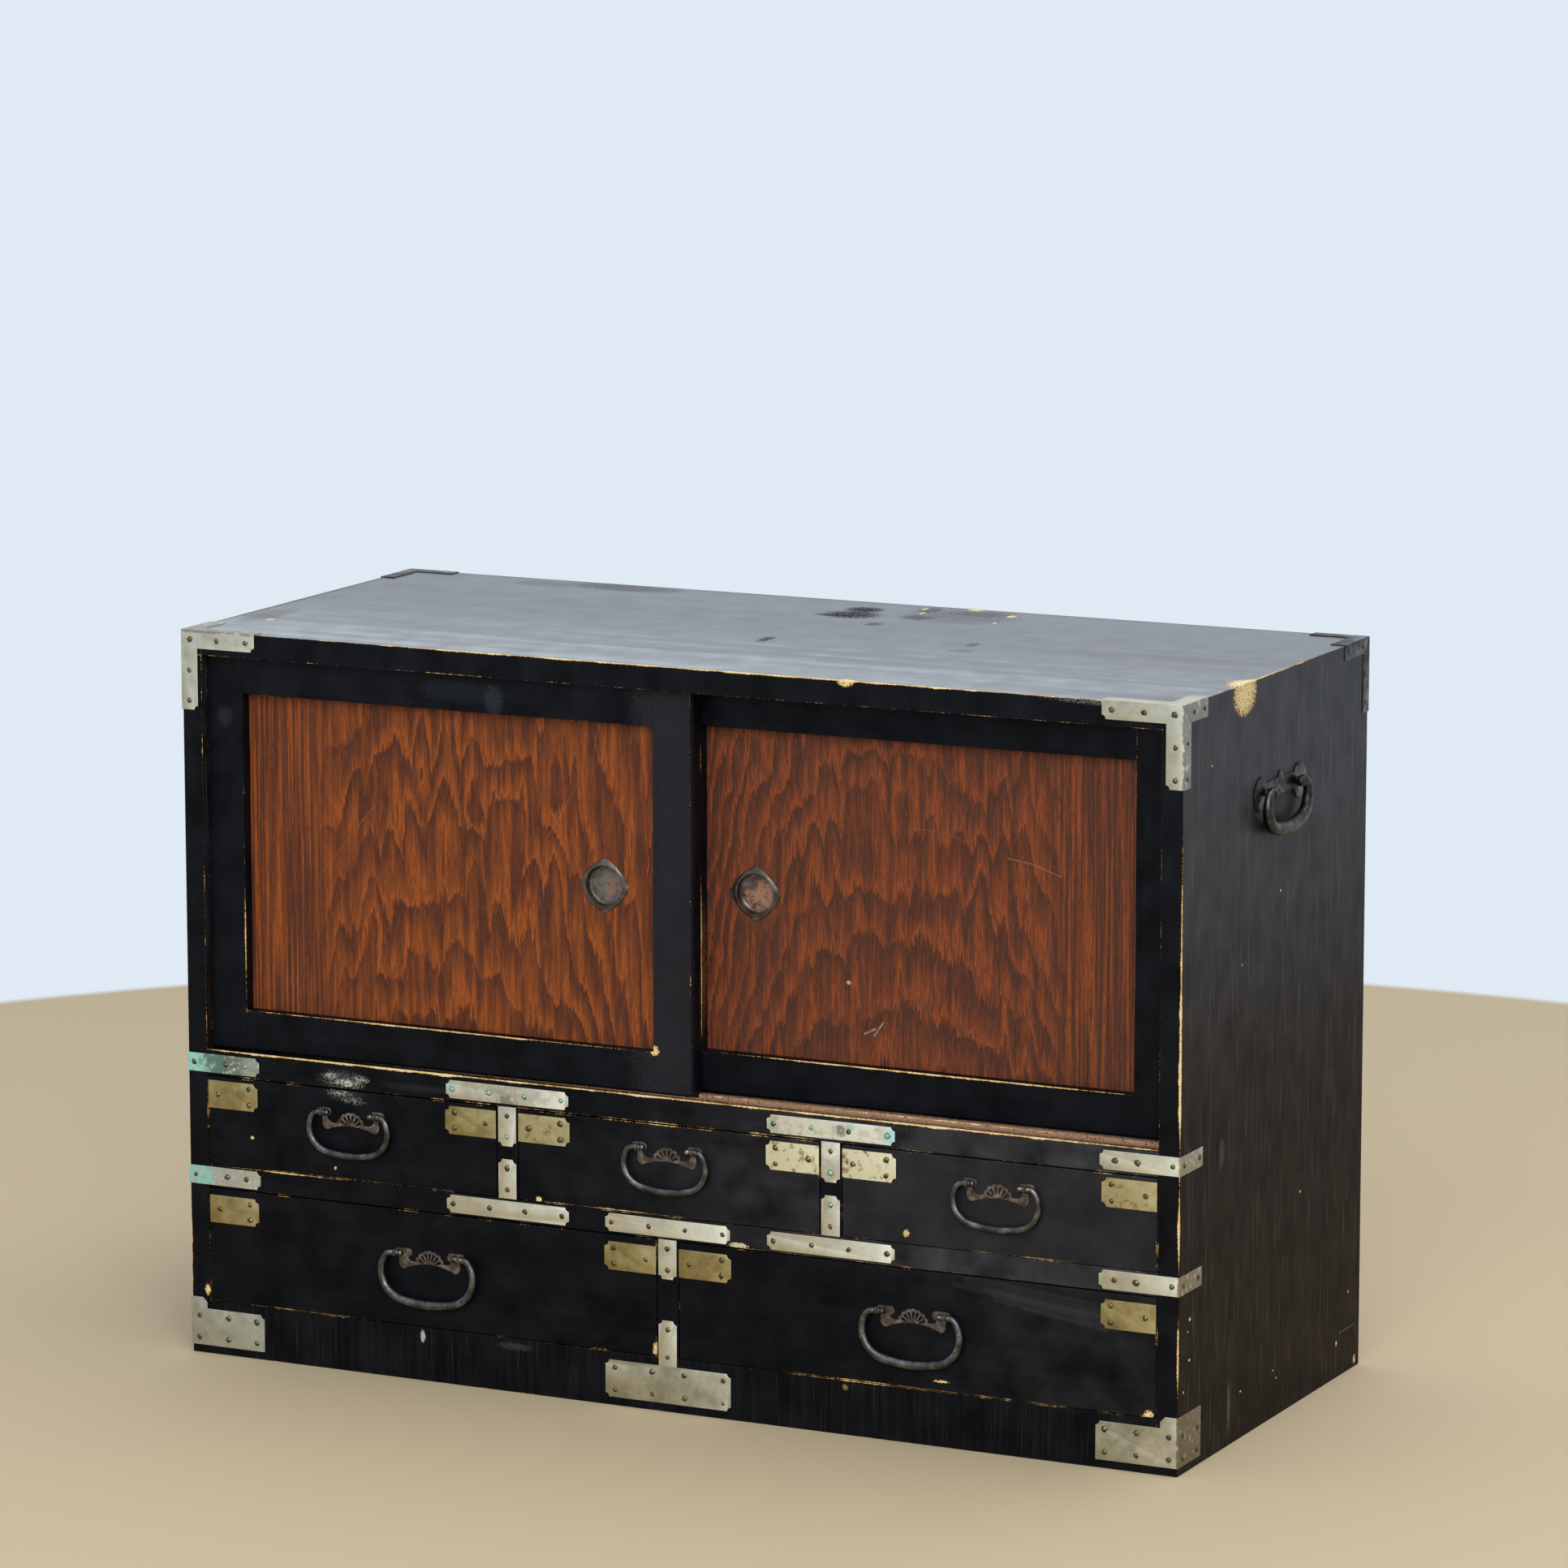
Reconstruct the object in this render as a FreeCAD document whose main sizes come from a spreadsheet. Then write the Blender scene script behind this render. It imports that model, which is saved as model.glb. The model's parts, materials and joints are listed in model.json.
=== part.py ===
import FreeCAD, Part
import math
import os
import Sketcher

# Isho clothing chest: a lacquered board carcass with two sliding doors above three small
# and two large drawers, bound with sheet-metal fittings. Millimetres, +Z up, the front
# faces -Y. The origin is the centre of the whole chest's footprint, on the floor.

sizes = {
    # carcass boards
    "chest_width": 950.0,
    "chest_depth": 412.0,
    "chest_height": 650.0,
    "side_thickness": 19.0,
    "top_thickness": 21.0,
    "inner_board_thickness": 12.0,
    "back_thickness": 9.0,
    "back_rabbet_width": 8.0,
    "back_board_gap": 0.5,
    "housing_depth": 6.0,
    "tenon_setback": 8.0,
    # front frame, from the floor up
    "base_rail_height": 48.0,
    "large_opening_height": 104.5,
    "middle_rail_height": 20.0,
    "small_opening_height": 81.5,
    "sill_height": 23.0,
    "base_rail_depth": 20.0,
    "middle_rail_depth": 45.0,
    "sill_depth": 60.0,
    "post_width": 20.0,
    "post_depth": 20.0,
    # sliding doors and their tracks
    "door_thickness": 20.0,
    "door_face_set": 8.0,
    "door_spacing": 4.0,
    "door_overlap": 38.0,
    "door_end_gap": 0.5,
    "sill_gap": 2.0,
    "head_gap": 1.0,
    "tongue_thickness": 10.0,
    "tongue_play": 0.5,
    "tongue_rest_gap": 0.3,
    "head_tongue": 4.5,
    "sill_groove": 6.0,
    "head_groove": 11.0,
    "stile_width": 36.0,
    "top_rail_height": 32.0,
    "bottom_rail_height": 34.7,
    "panel_thickness": 4.0,
    "panel_set": 12.0,
    "panel_groove": 7.0,
    "panel_play": 0.5,
    # recessed door pulls
    "left_pull_inset": 88.5,
    "right_pull_inset": 82.0,
    "pull_rise": 175.4,
    "pull_reach": 24.0,
    "pull_edge_bulge": 3.5,
    "pull_rim_thickness": 1.0,
    "pull_rim_chamfer": 0.5,
    "cup_radius": 17.6,
    "cup_wall": 0.8,
    "cup_depth": 7.0,
    "cup_corner": 1.6,
    "lip_width": 2.4,
    "lip_height": 1.7,
    "pull_hole_play": 0.3,
    # drawers
    "drawer_side_play": 1.0,
    "drawer_bottom_play": 0.6,
    "drawer_top_play": 1.2,
    "drawer_run_gap": 0.3,
    "drawer_rear_gap": 7.0,
    "drawer_front_thickness": 18.0,
    "drawer_side_thickness": 9.0,
    "drawer_side_drop": 2.0,
    "drawer_lap": 7.0,
    "drawer_floor_thickness": 7.0,
    "drawer_floor_rebate": 8.0,
    # sheet-metal fittings
    "sheet_thickness": 0.8,
    "notch_radius": 3.5,
    "joint_plate_width": 120.0,
    "joint_plate_height": 16.0,
    "sill_plate_drop": 1.0,
    "post_plate_width": 17.5,
    "post_plate_length": 35.0,
    "foot_plate_length": 40.5,
    "base_plate_width": 121.0,
    "base_plate_height": 33.0,
    "strap_front": 72.0,
    "strap_side": 47.0,
    "strap_height": 16.5,
    "base_corner_front": 74.0,
    "base_corner_side": 48.0,
    "base_corner_height": 33.5,
    "base_corner_tab": 10.0,
    "base_corner_tab_width": 15.5,
    "base_corner_cut": 4.5,
    "drawer_plate_width": 50.0,
    "drawer_plate_height": 25.0,
    "drawer_plate_notch": 4.0,
    "small_plate_drop": 4.5,
    "large_plate_drop": 7.0,
    "front_arm_across": 73.0,
    "front_arm_down": 70.0,
    "front_arm_back": 49.0,
    "front_leg_width": 15.5,
    "front_top_leg": 12.0,
    "front_side_leg": 14.0,
    "rear_arm_across": 50.0,
    "rear_arm_down": 65.0,
    "rear_arm_forward": 57.0,
    "rear_leg_width": 13.0,
    "mitre_gap": 0.7,
    # drawer handles: eyes and bail ends are alike on all drawers
    "drawer_plate_sheet": 1.2,
    "drawer_eye_width": 1.6,
    "drawer_eye_radius": 3.3,
    "drawer_neck_radius": 1.6,
    "drawer_neck_play": 0.35,
    "drawer_bead_width": 2.2,
    "drawer_bead_radius": 3.2,
    "drawer_bead_play": 0.3,
    "drawer_knob_length": 4.4,
    "ear_height": 7.4,
    "heel_radius": 5.0,
    "small_pivot_rise": 60.0,
    "small_eye_reach": 27.0,
    "small_standoff": 5.0,
    "small_drop": 37.2,
    "small_tip_radius": 2.75,
    "small_belly_radius": 3.3,
    "small_fan_radius": 14.0,
    "small_fan_drop": 12.8,
    "small_ear_shift": 0.3,
    "small_ear_reach": 7.2,
    "small_heel_set": 1.9,
    "small_foot_drop": 2.9,
    "small_arch_rise": 4.5,
    "small_saddle": 3.1,
    "large_pivot_rise": 66.0,
    "large_eye_reach": 31.9,
    "large_standoff": 6.0,
    "large_drop": 43.9,
    "large_tip_radius": 3.1,
    "large_belly_radius": 4.2,
    "large_fan_radius": 14.7,
    "large_fan_drop": 11.0,
    "large_ear_shift": 5.9,
    "large_ear_reach": 8.5,
    "large_heel_set": 0.6,
    "large_foot_drop": 3.5,
    "large_arch_rise": 5.8,
    "large_saddle": 3.5,
    # carrying handles on the sides
    "side_handle_drop": 99.0,
    "side_handle_setback": 209.5,
    "side_plate_sheet": 1.6,
    "side_eye_width": 2.2,
    "side_eye_radius": 5.0,
    "side_neck_radius": 2.6,
    "side_neck_play": 0.35,
    "side_bead_width": 2.6,
    "side_bead_radius": 4.6,
    "side_bead_play": 0.3,
    "side_knob_length": 5.0,
    "side_eye_reach": 34.0,
    "side_standoff": 8.0,
    "side_drop": 34.5,
    "side_tip_radius": 3.5,
    "side_belly_radius": 6.3,
    "side_lobe_radius": 15.0,
    "side_lobe_reach": 42.5,
    "side_lobe_drop": 1.0,
    "side_peak_rise": 6.0,
    "side_peak_width": 12.0,
}

finger_count = 7
back_board_count = 4
lobe_counts = {"small": 6, "large": 7}

# Angles, in degrees. The fan's first spoke is measured from the horizontal, the eye's
# shank and the lobes' joints round their circles, and the bail's shoulder is how far the
# wire turns down before its side starts.
fan_start_angle = 16.0
eye_angles = (40.0, 110.0, 180.0, 250.0, 320.0)
lobe_angles = (200.0, 260.0, 320.0, 380.0, 440.0, 503.0)
shoulder_angle = 60.0

# Shares of the fan's radius
valley_share = 0.92
slot_near_share = 0.40
slot_far_share = 0.745
slot_root_share = 0.04
slot_end_share = 0.09
# Shares of a bail's drop, for the radii of its shoulder and of its side
shoulder_shares = {"small": 0.188, "large": 0.182, "side": 0.145}
haunch_shares = {"small": 0.565, "large": 0.569, "side": 0.551}
# Outline of a bail's knobbed end, as shares of the knob's length and the bead's radius,
# and of each bead, as shares of its width and radius
knob_shares = ((0.0, 0.0), (0.0, 0.45), (0.3, 0.85), (0.75, 0.85))
bead_shares = ((0.0, 0.72), (0.3, 1.0), (0.7, 1.0), (1.0, 0.72))
# Steps between rings along the shoulder, the side and half of the belly of a bail
bail_steps = (2, 4, 2)

V = FreeCAD.Vector
up_axis = V(0, 0, 1)

doc = FreeCAD.newDocument("isho_chest")
sheet = doc.addObject("Spreadsheet::Sheet", "Sizes")
for row, (alias, value) in enumerate(sizes.items(), start=1):
    sheet.set("A%d" % row, alias)
    sheet.set("B%d" % row, str(value))
    sheet.setAlias("B%d" % row, alias)
doc.recompute()


class Length:
    # A length with its value and the sheet expression that it comes from
    def __init__(self, value, text):
        self.value = value
        self.text = text

    def __add__(self, other):
        return Length(self.value + other.value, "(%s + %s)" % (self.text, other.text))

    def __sub__(self, other):
        return Length(self.value - other.value, "(%s - %s)" % (self.text, other.text))

    def __neg__(self):
        return Length(-self.value, "(-1 * %s)" % self.text)

    def __mul__(self, share):
        return Length(self.value * share, "(%s * %r)" % (self.text, float(share)))

    def __truediv__(self, share):
        return Length(self.value / share, "(%s / %r)" % (self.text, float(share)))


def size(alias):
    return Length(float(sheet.get(alias)), "Sizes." + alias)


def arc_radius(half_chord, rise):
    # Radius of the arc that rises so far above the middle of its chord
    value = (half_chord.value ** 2 + rise.value ** 2) / (2 * rise.value)
    across, up = half_chord.text, rise.text
    return Length(value, "((%s * %s + %s * %s) / (2 * %s))" % (across, across, up, up, up))


def polar(radius, angle):
    turn = math.radians(angle)
    return radius * math.cos(turn), radius * math.sin(turn)


zero = Length(0.0, "0")
half_width = size("chest_width") / 2
inner_half = half_width - size("side_thickness")
housed_half = inner_half + size("housing_depth")
depth = size("chest_depth")
height = size("chest_height")
sheet_metal = size("sheet_thickness")
inner_board_thickness = size("inner_board_thickness")
back_face = depth - size("back_thickness")

# Levels of the front frame
base_top = size("base_rail_height")
middle_low = base_top + size("large_opening_height")
middle_top = middle_low + size("middle_rail_height")
sill_low = middle_top + size("small_opening_height")
sill_top = sill_low + size("sill_height")
sill_floor = sill_top - size("sill_groove")
head_low = height - size("top_thickness")

# The whole chest's box is centred on Y: the bails reach forward, the rear corners back.
front_reach = size("large_standoff") + size("large_belly_radius")
front_plane = (front_reach - sheet_metal - depth) / 2

large_opening_width = inner_half - size("post_width") / 2
small_opening_width = (inner_half * 2 - size("post_width") * 2) / 3
upper_post_centre = (small_opening_width + size("post_width")) / 2
large_drawer_centre = (large_opening_width + size("post_width")) / 2
small_drawer_centre = small_opening_width + size("post_width")
door_width = inner_half + size("door_overlap") / 2 - size("door_end_gap")

# The front door runs in the front pair of grooves, the rear door in the pair behind.
front_door_face = size("door_face_set")
rear_door_face = front_door_face + size("door_thickness") + size("door_spacing")
tongue_set = (size("door_thickness") - size("tongue_thickness")) / 2

nodes = []
bodies = []
cuts = []


def place(piece, x=zero, y=zero, z=zero, turn=0.0):
    # Seat a piece: x from the middle, y back from the carcass front, z from the floor.
    piece.Placement = FreeCAD.Placement(V(), FreeCAD.Rotation(up_axis, turn))
    piece.setExpression("Placement.Base.x", x.text)
    piece.setExpression("Placement.Base.y", (front_plane + y).text)
    piece.setExpression("Placement.Base.z", z.text)


def new_body(label, **seat):
    body = doc.addObject("PartDesign::Body", "Body")
    body.Label = label
    place(body, **seat)
    bodies.append(body)
    return body


def group(label, pieces):
    compound = doc.addObject("Part::Compound", "Group")
    compound.Links = pieces
    compound.Label = label
    nodes.append(compound)


# Each view draws on one origin plane. The sign says which way the plane's normal runs
# along the axis that the view looks along.
views = {"front": ("XZ_Plane", -1), "plan": ("XY_Plane", 1), "side": ("YZ_Plane", 1)}


def new_sketch(body, view, start=zero):
    role, sign = views[view]
    plane = next(plane for plane in body.Origin.OriginFeatures if plane.Role == role)
    sketch = body.newObject("Sketcher::SketchObject", "Sketch")
    sketch.AttachmentSupport = (plane, [""])
    sketch.MapMode = "FlatFace"
    sketch.setExpression("AttachmentOffset.Base.z", (start * sign).text)
    return sketch


def arc_between(start, end, radius):
    # Minor arc: a positive radius turns left on the way to the end, a negative one right.
    chord = end - start
    rise = math.sqrt(max(radius ** 2 - chord.Length ** 2 / 4, 0.0))
    aside = V(-chord.y, chord.x, 0).normalize() * math.copysign(rise, radius)
    circle = Part.Circle((start + end) / 2 + aside, up_axis, abs(radius))
    first, last = (start, end) if radius > 0 else (end, start)
    return Part.ArcOfCircle(circle, circle.parameter(first), circle.parameter(last))


def add_rules(sketch, rules):
    # Each rule is a constraint with the length that drives it, or with none.
    first = sketch.ConstraintCount
    sketch.addConstraint([constraint for constraint, _ in rules])
    for index, (_, length) in enumerate(rules, start=first):
        if length is not None:
            sketch.setExpression("Constraints[%d]" % index, length.text)


def point_rules(line, end, across, up):
    return [
        (Sketcher.Constraint("DistanceX", -1, 1, line, end, across.value), across),
        (Sketcher.Constraint("DistanceY", -1, 1, line, end, up.value), up),
    ]


def draw(sketch, corners):
    # Closed outline through (across, up) corners. A third entry is the radius of the arc
    # that leads to the corner from the one before it.
    points = [V(corner[0].value, corner[1].value, 0) for corner in corners]
    rules, ends = [], []
    for index, corner in enumerate(corners):
        start, end = points[index - 1], points[index]
        if len(corner) > 2:
            radius = corner[2] if corner[2].value > 0 else -corner[2]
            line = sketch.addGeometry(arc_between(start, end, corner[2].value))
            ends.append((line, 1, 2) if corner[2].value > 0 else (line, 2, 1))
            rules.append((Sketcher.Constraint("Radius", line, radius.value), radius))
        else:
            line = sketch.addGeometry(Part.LineSegment(start, end))
            ends.append((line, 1, 2))
    for index, corner in enumerate(corners):
        line, _, end = ends[index]
        following, begin, _ = ends[(index + 1) % len(ends)]
        rules.append((Sketcher.Constraint("Coincident", line, end, following, begin), None))
        rules += point_rules(line, end, corner[0], corner[1])
    add_rules(sketch, rules)


def draw_circle(sketch, across, up, radius):
    circle = Part.Circle(V(across.value, up.value, 0), up_axis, radius.value)
    line = sketch.addGeometry(circle)
    rules = [(Sketcher.Constraint("Radius", line, radius.value), radius)]
    add_rules(sketch, rules + point_rules(line, 3, across, up))


def rectangle(left, right, low, high):
    return [(left, low), (right, low), (right, high), (left, high)]


def between(first, second):
    # Two places in rising order
    return (first, second) if first.value < second.value else (second, first)


def pad(body, view, corners, start, end, holes=()):
    # Solid between two places along the view's axis
    sketch = new_sketch(body, view, start)
    draw(sketch, corners)
    for hole in holes:
        draw_circle(sketch, *hole)
    feature = body.newObject("PartDesign::Pad", "Pad")
    feature.Profile = sketch
    feature.setExpression("Length", (end - start).text)
    feature.Reversed = views[view][1] < 0
    return feature


def pocket(body, view, corners, start, end):
    # Cut between two places along the view's axis
    sketch = new_sketch(body, view, start)
    draw(sketch, corners)
    feature = body.newObject("PartDesign::Pocket", "Pocket")
    feature.Profile = sketch
    feature.setExpression("Length", (end - start).text)
    feature.Reversed = views[view][1] > 0
    cuts.append(feature)
    return feature


def board(label, view, corners, start, end, **seat):
    body = new_body(label, **seat)
    pad(body, view, corners, start, end)
    return body


# Carcass: side boards joined to the top by fingers, and housed for every inner board

def finger(index):
    return depth * index / finger_count


def level_housing(rail_depth, rail_low, rail_top, board_top):
    # Outline of one level's stopped housing: the rail's tenon, then the board behind it
    front, board_low = size("tenon_setback"), board_top - inner_board_thickness
    outline = [
        (front, rail_low), (rail_depth, rail_low), (rail_depth, board_low),
        (back_face, board_low), (back_face, board_top),
    ]
    if rail_top.value < board_top.value:
        outline += [(rail_depth, board_top), (rail_depth, rail_top)]
    return outline + [(front, rail_top)]


def side_board(label, hand):
    body = new_body(label)
    outline = [(zero, zero), (depth, zero), (depth, head_low)]
    for index in range(finger_count - 1, 0, -1):
        # Even fingers belong to the top, and the odd ones between them to this board.
        levels = (head_low, height) if index % 2 == 0 else (height, head_low)
        outline += [(finger(index), level) for level in levels]
    outline.append((zero, head_low))
    pad(body, "side", outline, *between(inner_half * hand, half_width * hand))
    for housing in (
            level_housing(size("base_rail_depth"), zero, base_top, base_top),
            level_housing(size("middle_rail_depth"), middle_low, middle_top, middle_top),
            level_housing(size("sill_depth"), sill_low, sill_floor, sill_top)):
        pocket(body, "side", housing, *between(inner_half * hand, housed_half * hand))
    rabbet = between(inner_half * hand, (inner_half + size("back_rabbet_width")) * hand)
    pocket(body, "plan", rectangle(*rabbet, back_face, depth), zero, head_low)
    nodes.append(body)


def groove(face):
    # Near and far wall of the groove under or over a door whose face is so far back
    low = face + tongue_set - size("tongue_play")
    high = face + tongue_set + size("tongue_thickness") + size("tongue_play")
    return low, high


def top_board():
    right = []
    for index in range(finger_count):
        reach = half_width if index % 2 == 0 else inner_half
        right += [(reach, finger(index)), (reach, finger(index + 1))]
    left = [(-across, along) for across, along in reversed(right)]
    body = board("top_board", "plan", right + left, head_low, height)
    for face in (front_door_face, rear_door_face):
        outline = rectangle(-inner_half, inner_half, *groove(face))
        pocket(body, "plan", outline, head_low, head_low + size("head_groove"))
    nodes.append(body)


def door_sill():
    deep = size("sill_depth")
    profile = [(zero, sill_low), (deep, sill_low), (deep, sill_top)]
    for face in (rear_door_face, front_door_face):
        low, high = groove(face)
        profile += [(high, sill_top), (high, sill_floor), (low, sill_floor), (low, sill_top)]
    profile.append((zero, sill_top))
    body = board("door_sill", "side", profile, -inner_half, inner_half)
    tenon = rectangle(size("tenon_setback"), deep, sill_low, sill_floor)
    pad(body, "side", tenon, -housed_half, housed_half)
    nodes.append(body)


def rail(label, low, high, deep):
    outline = rectangle(zero, deep, low, high)
    body = board(label, "side", outline, -inner_half, inner_half)
    tenon = rectangle(size("tenon_setback"), deep, low, high)
    pad(body, "side", tenon, -housed_half, housed_half)
    nodes.append(body)


def inner_board(label, front, top):
    outline = rectangle(-housed_half, housed_half, front, back_face)
    nodes.append(board(label, "plan", outline, top - inner_board_thickness, top))


def back_boards():
    reach = inner_half + size("back_rabbet_width")
    pieces = []
    for index in range(back_board_count):
        low = head_low * index / back_board_count
        high = head_low * (index + 1) / back_board_count - size("back_board_gap")
        outline = rectangle(-reach, reach, low, high)
        pieces.append(board("back_board", "front", outline, back_face, depth))
    group("back_boards", pieces)


def post(label, centre, low, high):
    half = size("post_width") / 2
    outline = rectangle(-half, half, low, high)
    return board(label, "front", outline, zero, size("post_depth"), x=centre)


def partition(label, centre, low, high, rail_depth, board_top):
    # Board behind a post, notched round the rail above it
    front, board_low = size("post_depth"), board_top - inner_board_thickness
    outline = [
        (front, low), (back_face, low), (back_face, board_low),
        (rail_depth, board_low), (rail_depth, high), (front, high),
    ]
    half = size("post_width") / 2
    return board(label, "side", outline, -half, half, x=centre)


side_board("left_side_board", -1)
side_board("right_side_board", 1)
top_board()
back_boards()
door_sill()
rail("middle_rail", middle_low, middle_top, size("middle_rail_depth"))
rail("base_rail", zero, base_top, size("base_rail_depth"))
inner_board("cabinet_floor", size("sill_depth"), sill_top)
inner_board("drawer_shelf", size("middle_rail_depth"), middle_top)
inner_board("bottom_board", size("base_rail_depth"), base_top)
post_centres = [upper_post_centre * hand for hand in (-1, 1)]
group("upper_posts", [post("post", x, middle_top, sill_low) for x in post_centres])
group("upper_partitions", [
    partition("partition", x, middle_top, sill_low, size("sill_depth"), sill_top)
    for x in post_centres
])
nodes.append(post("lower_post", zero, base_top, middle_low))
nodes.append(partition(
    "lower_partition", zero, base_top, middle_low, size("middle_rail_depth"), middle_top))


# Sheet-metal fittings over the joints

def notched(left, right, low, high, notch, notches):
    # Rectangle whose named corners are cut by an inward quarter round
    corners = []
    for name, across, up, before, after in (
            ("low_left", left, low, (zero, notch), (notch, zero)),
            ("low_right", right, low, (-notch, zero), (zero, notch)),
            ("high_right", right, high, (zero, -notch), (-notch, zero)),
            ("high_left", left, high, (notch, zero), (zero, -notch))):
        if name in notches:
            corners.append((across + before[0], up + before[1]))
            corners.append((across + after[0], up + after[1], -notch))
        else:
            corners.append((across, up))
    return corners


every_corner = ("low_left", "low_right", "high_right", "high_left")


def inner_corners(hand):
    # The corners on the side towards the middle of the chest, at that hand
    return ("low_left", "high_left") if hand > 0 else ("low_right", "high_right")


def mirror_outline(corners):
    # An outline mirrored left to right and walked the other way round
    turned = []
    for index in range(len(corners) - 1, -1, -1):
        following = corners[(index + 1) % len(corners)]
        turned.append((-corners[index][0], corners[index][1]) + tuple(following[2:]))
    return turned


def face_plate(label, outline, **seat):
    return board(label, "front", outline, -sheet_metal, zero, **seat)


def joint_plate(label, width, tall, **seat):
    half, rise = width / 2, tall / 2
    outline = notched(-half, half, -rise, rise, size("notch_radius"), every_corner)
    return face_plate(label, outline, **seat)


def post_plate(centre, low, high, notches):
    half = size("post_plate_width") / 2
    outline = notched(-half, half, low, high, size("notch_radius"), notches)
    return face_plate("post_plate", outline, x=centre)


def strap(hand, level):
    # Strap bent round a front edge of the carcass
    body = new_body("strap")
    low, high = level - size("strap_height") / 2, level + size("strap_height") / 2
    edge = half_width + sheet_metal
    across = between((half_width - size("strap_front")) * hand, edge * hand)
    outline = notched(*across, low, high, size("notch_radius"), inner_corners(hand))
    pad(body, "front", outline, -sheet_metal, zero)
    outline = rectangle(-sheet_metal, size("strap_side"), low, high)
    pad(body, "side", outline, *between(half_width * hand, edge * hand))
    return body


def base_corner(hand):
    # Plate bent round a front corner at the foot, with a tab up the side board's edge
    body = new_body("base_corner")
    low = (base_top - size("base_corner_height")) / 2
    high = low + size("base_corner_height")
    top = high + size("base_corner_tab")
    notch, cut = size("notch_radius"), size("base_corner_cut")
    edge = half_width + sheet_metal
    far = half_width - size("base_corner_front")
    tab = half_width - size("base_corner_tab_width")
    outline = [
        (far, low), (edge, low), (edge, top), (tab + cut, top), (tab, top - cut),
        (tab, high), (far + notch, high), (far, high - notch, -notch),
    ]
    if hand < 0:
        outline = mirror_outline(outline)
    pad(body, "front", outline, -sheet_metal, zero)
    outline = rectangle(-sheet_metal, size("base_corner_side"), low, top)
    pad(body, "side", outline, *between(half_width * hand, edge * hand))
    return body


def top_corner(hand, facing, arms, legs):
    # Cap of three folded faces over a top corner. facing is 1 in front and -1 behind.
    across_arm, down_arm, depth_arm = arms
    leg, top_leg, side_leg = legs
    body = new_body("top_corner")
    notch, gap = size("notch_radius"), size("mitre_gap")
    edge, leg_x, far = half_width + sheet_metal, half_width - leg, half_width - across_arm
    low, leg_z = height - down_arm, height - leg
    face = zero if facing > 0 else depth
    outer = face - sheet_metal * facing

    def inward(distance):
        return face + distance * facing

    outline = [
        (leg_x, low + notch), (leg_x + notch, low, -notch), (edge, low), (edge, height),
        (far, height), (far, leg_z + notch), (far + notch, leg_z, -notch), (leg_x, leg_z),
    ]
    if hand < 0:
        outline = mirror_outline(outline)
    pad(body, "front", outline, *between(outer, face))
    upright = [
        (outer, low), (inward(side_leg), low), (inward(side_leg), leg_z - gap),
        (outer, height - gap),
    ]
    lying = [
        (outer, height), (inward(side_leg), leg_z), (inward(depth_arm), leg_z),
        (inward(depth_arm), height),
    ]
    for outline in (upright, lying):
        pad(body, "side", outline, *between(half_width * hand, edge * hand))
    outline = [
        (far, outer), (edge, outer), (edge, inward(depth_arm)), (leg_x, inward(depth_arm)),
        (leg_x, inward(top_leg)), (far, inward(top_leg)),
    ]
    if hand < 0:
        outline = mirror_outline(outline)
    pad(body, "plan", outline, height, height + sheet_metal)
    return body


sill_plate_level = (sill_low + sill_top) / 2 - size("sill_plate_drop")
middle_plate_level = (middle_low + middle_top) / 2
joint_seats = [(x, z) for x in post_centres for z in (sill_plate_level, middle_plate_level)]
joint_seats.append((zero, middle_plate_level))
group("joint_plates", [
    joint_plate("plate", size("joint_plate_width"), size("joint_plate_height"), x=x, z=z)
    for x, z in joint_seats
])
nodes.append(joint_plate(
    "base_joint_plate", size("base_plate_width"), size("base_plate_height"), z=base_top / 2))

plate_run = size("post_plate_length")
foot_low = (base_top + size("base_plate_height")) / 2
foot_high = foot_low + size("foot_plate_length")
hanging = ("low_left", "low_right")
standing = ("high_left", "high_right")
post_plates = [
    post_plate(zero, middle_low - plate_run, middle_low, hanging),
    post_plate(zero, foot_low, foot_high, standing),
]
for centre in post_centres:
    post_plates.append(post_plate(centre, sill_low - plate_run, sill_low, hanging))
    post_plates.append(post_plate(centre, middle_top, middle_top + plate_run, standing))
group("post_plates", post_plates)

group("sill_straps", [strap(hand, sill_plate_level) for hand in (-1, 1)])
group("middle_straps", [strap(hand, middle_plate_level) for hand in (-1, 1)])
group("base_corners", [base_corner(hand) for hand in (-1, 1)])
front_arms = [size("front_arm_" + way) for way in ("across", "down", "back")]
front_legs = [size(name) for name in ("front_leg_width", "front_top_leg", "front_side_leg")]
rear_arms = [size("rear_arm_" + way) for way in ("across", "down", "forward")]
rear_legs = [size("rear_leg_width")] * 3
group("front_top_corners", [top_corner(hand, 1, front_arms, front_legs) for hand in (-1, 1)])
group("rear_top_corners", [top_corner(hand, -1, rear_arms, rear_legs) for hand in (-1, 1)])


# Sliding doors: a grooved frame round a thin panel, with a recessed pull

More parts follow.
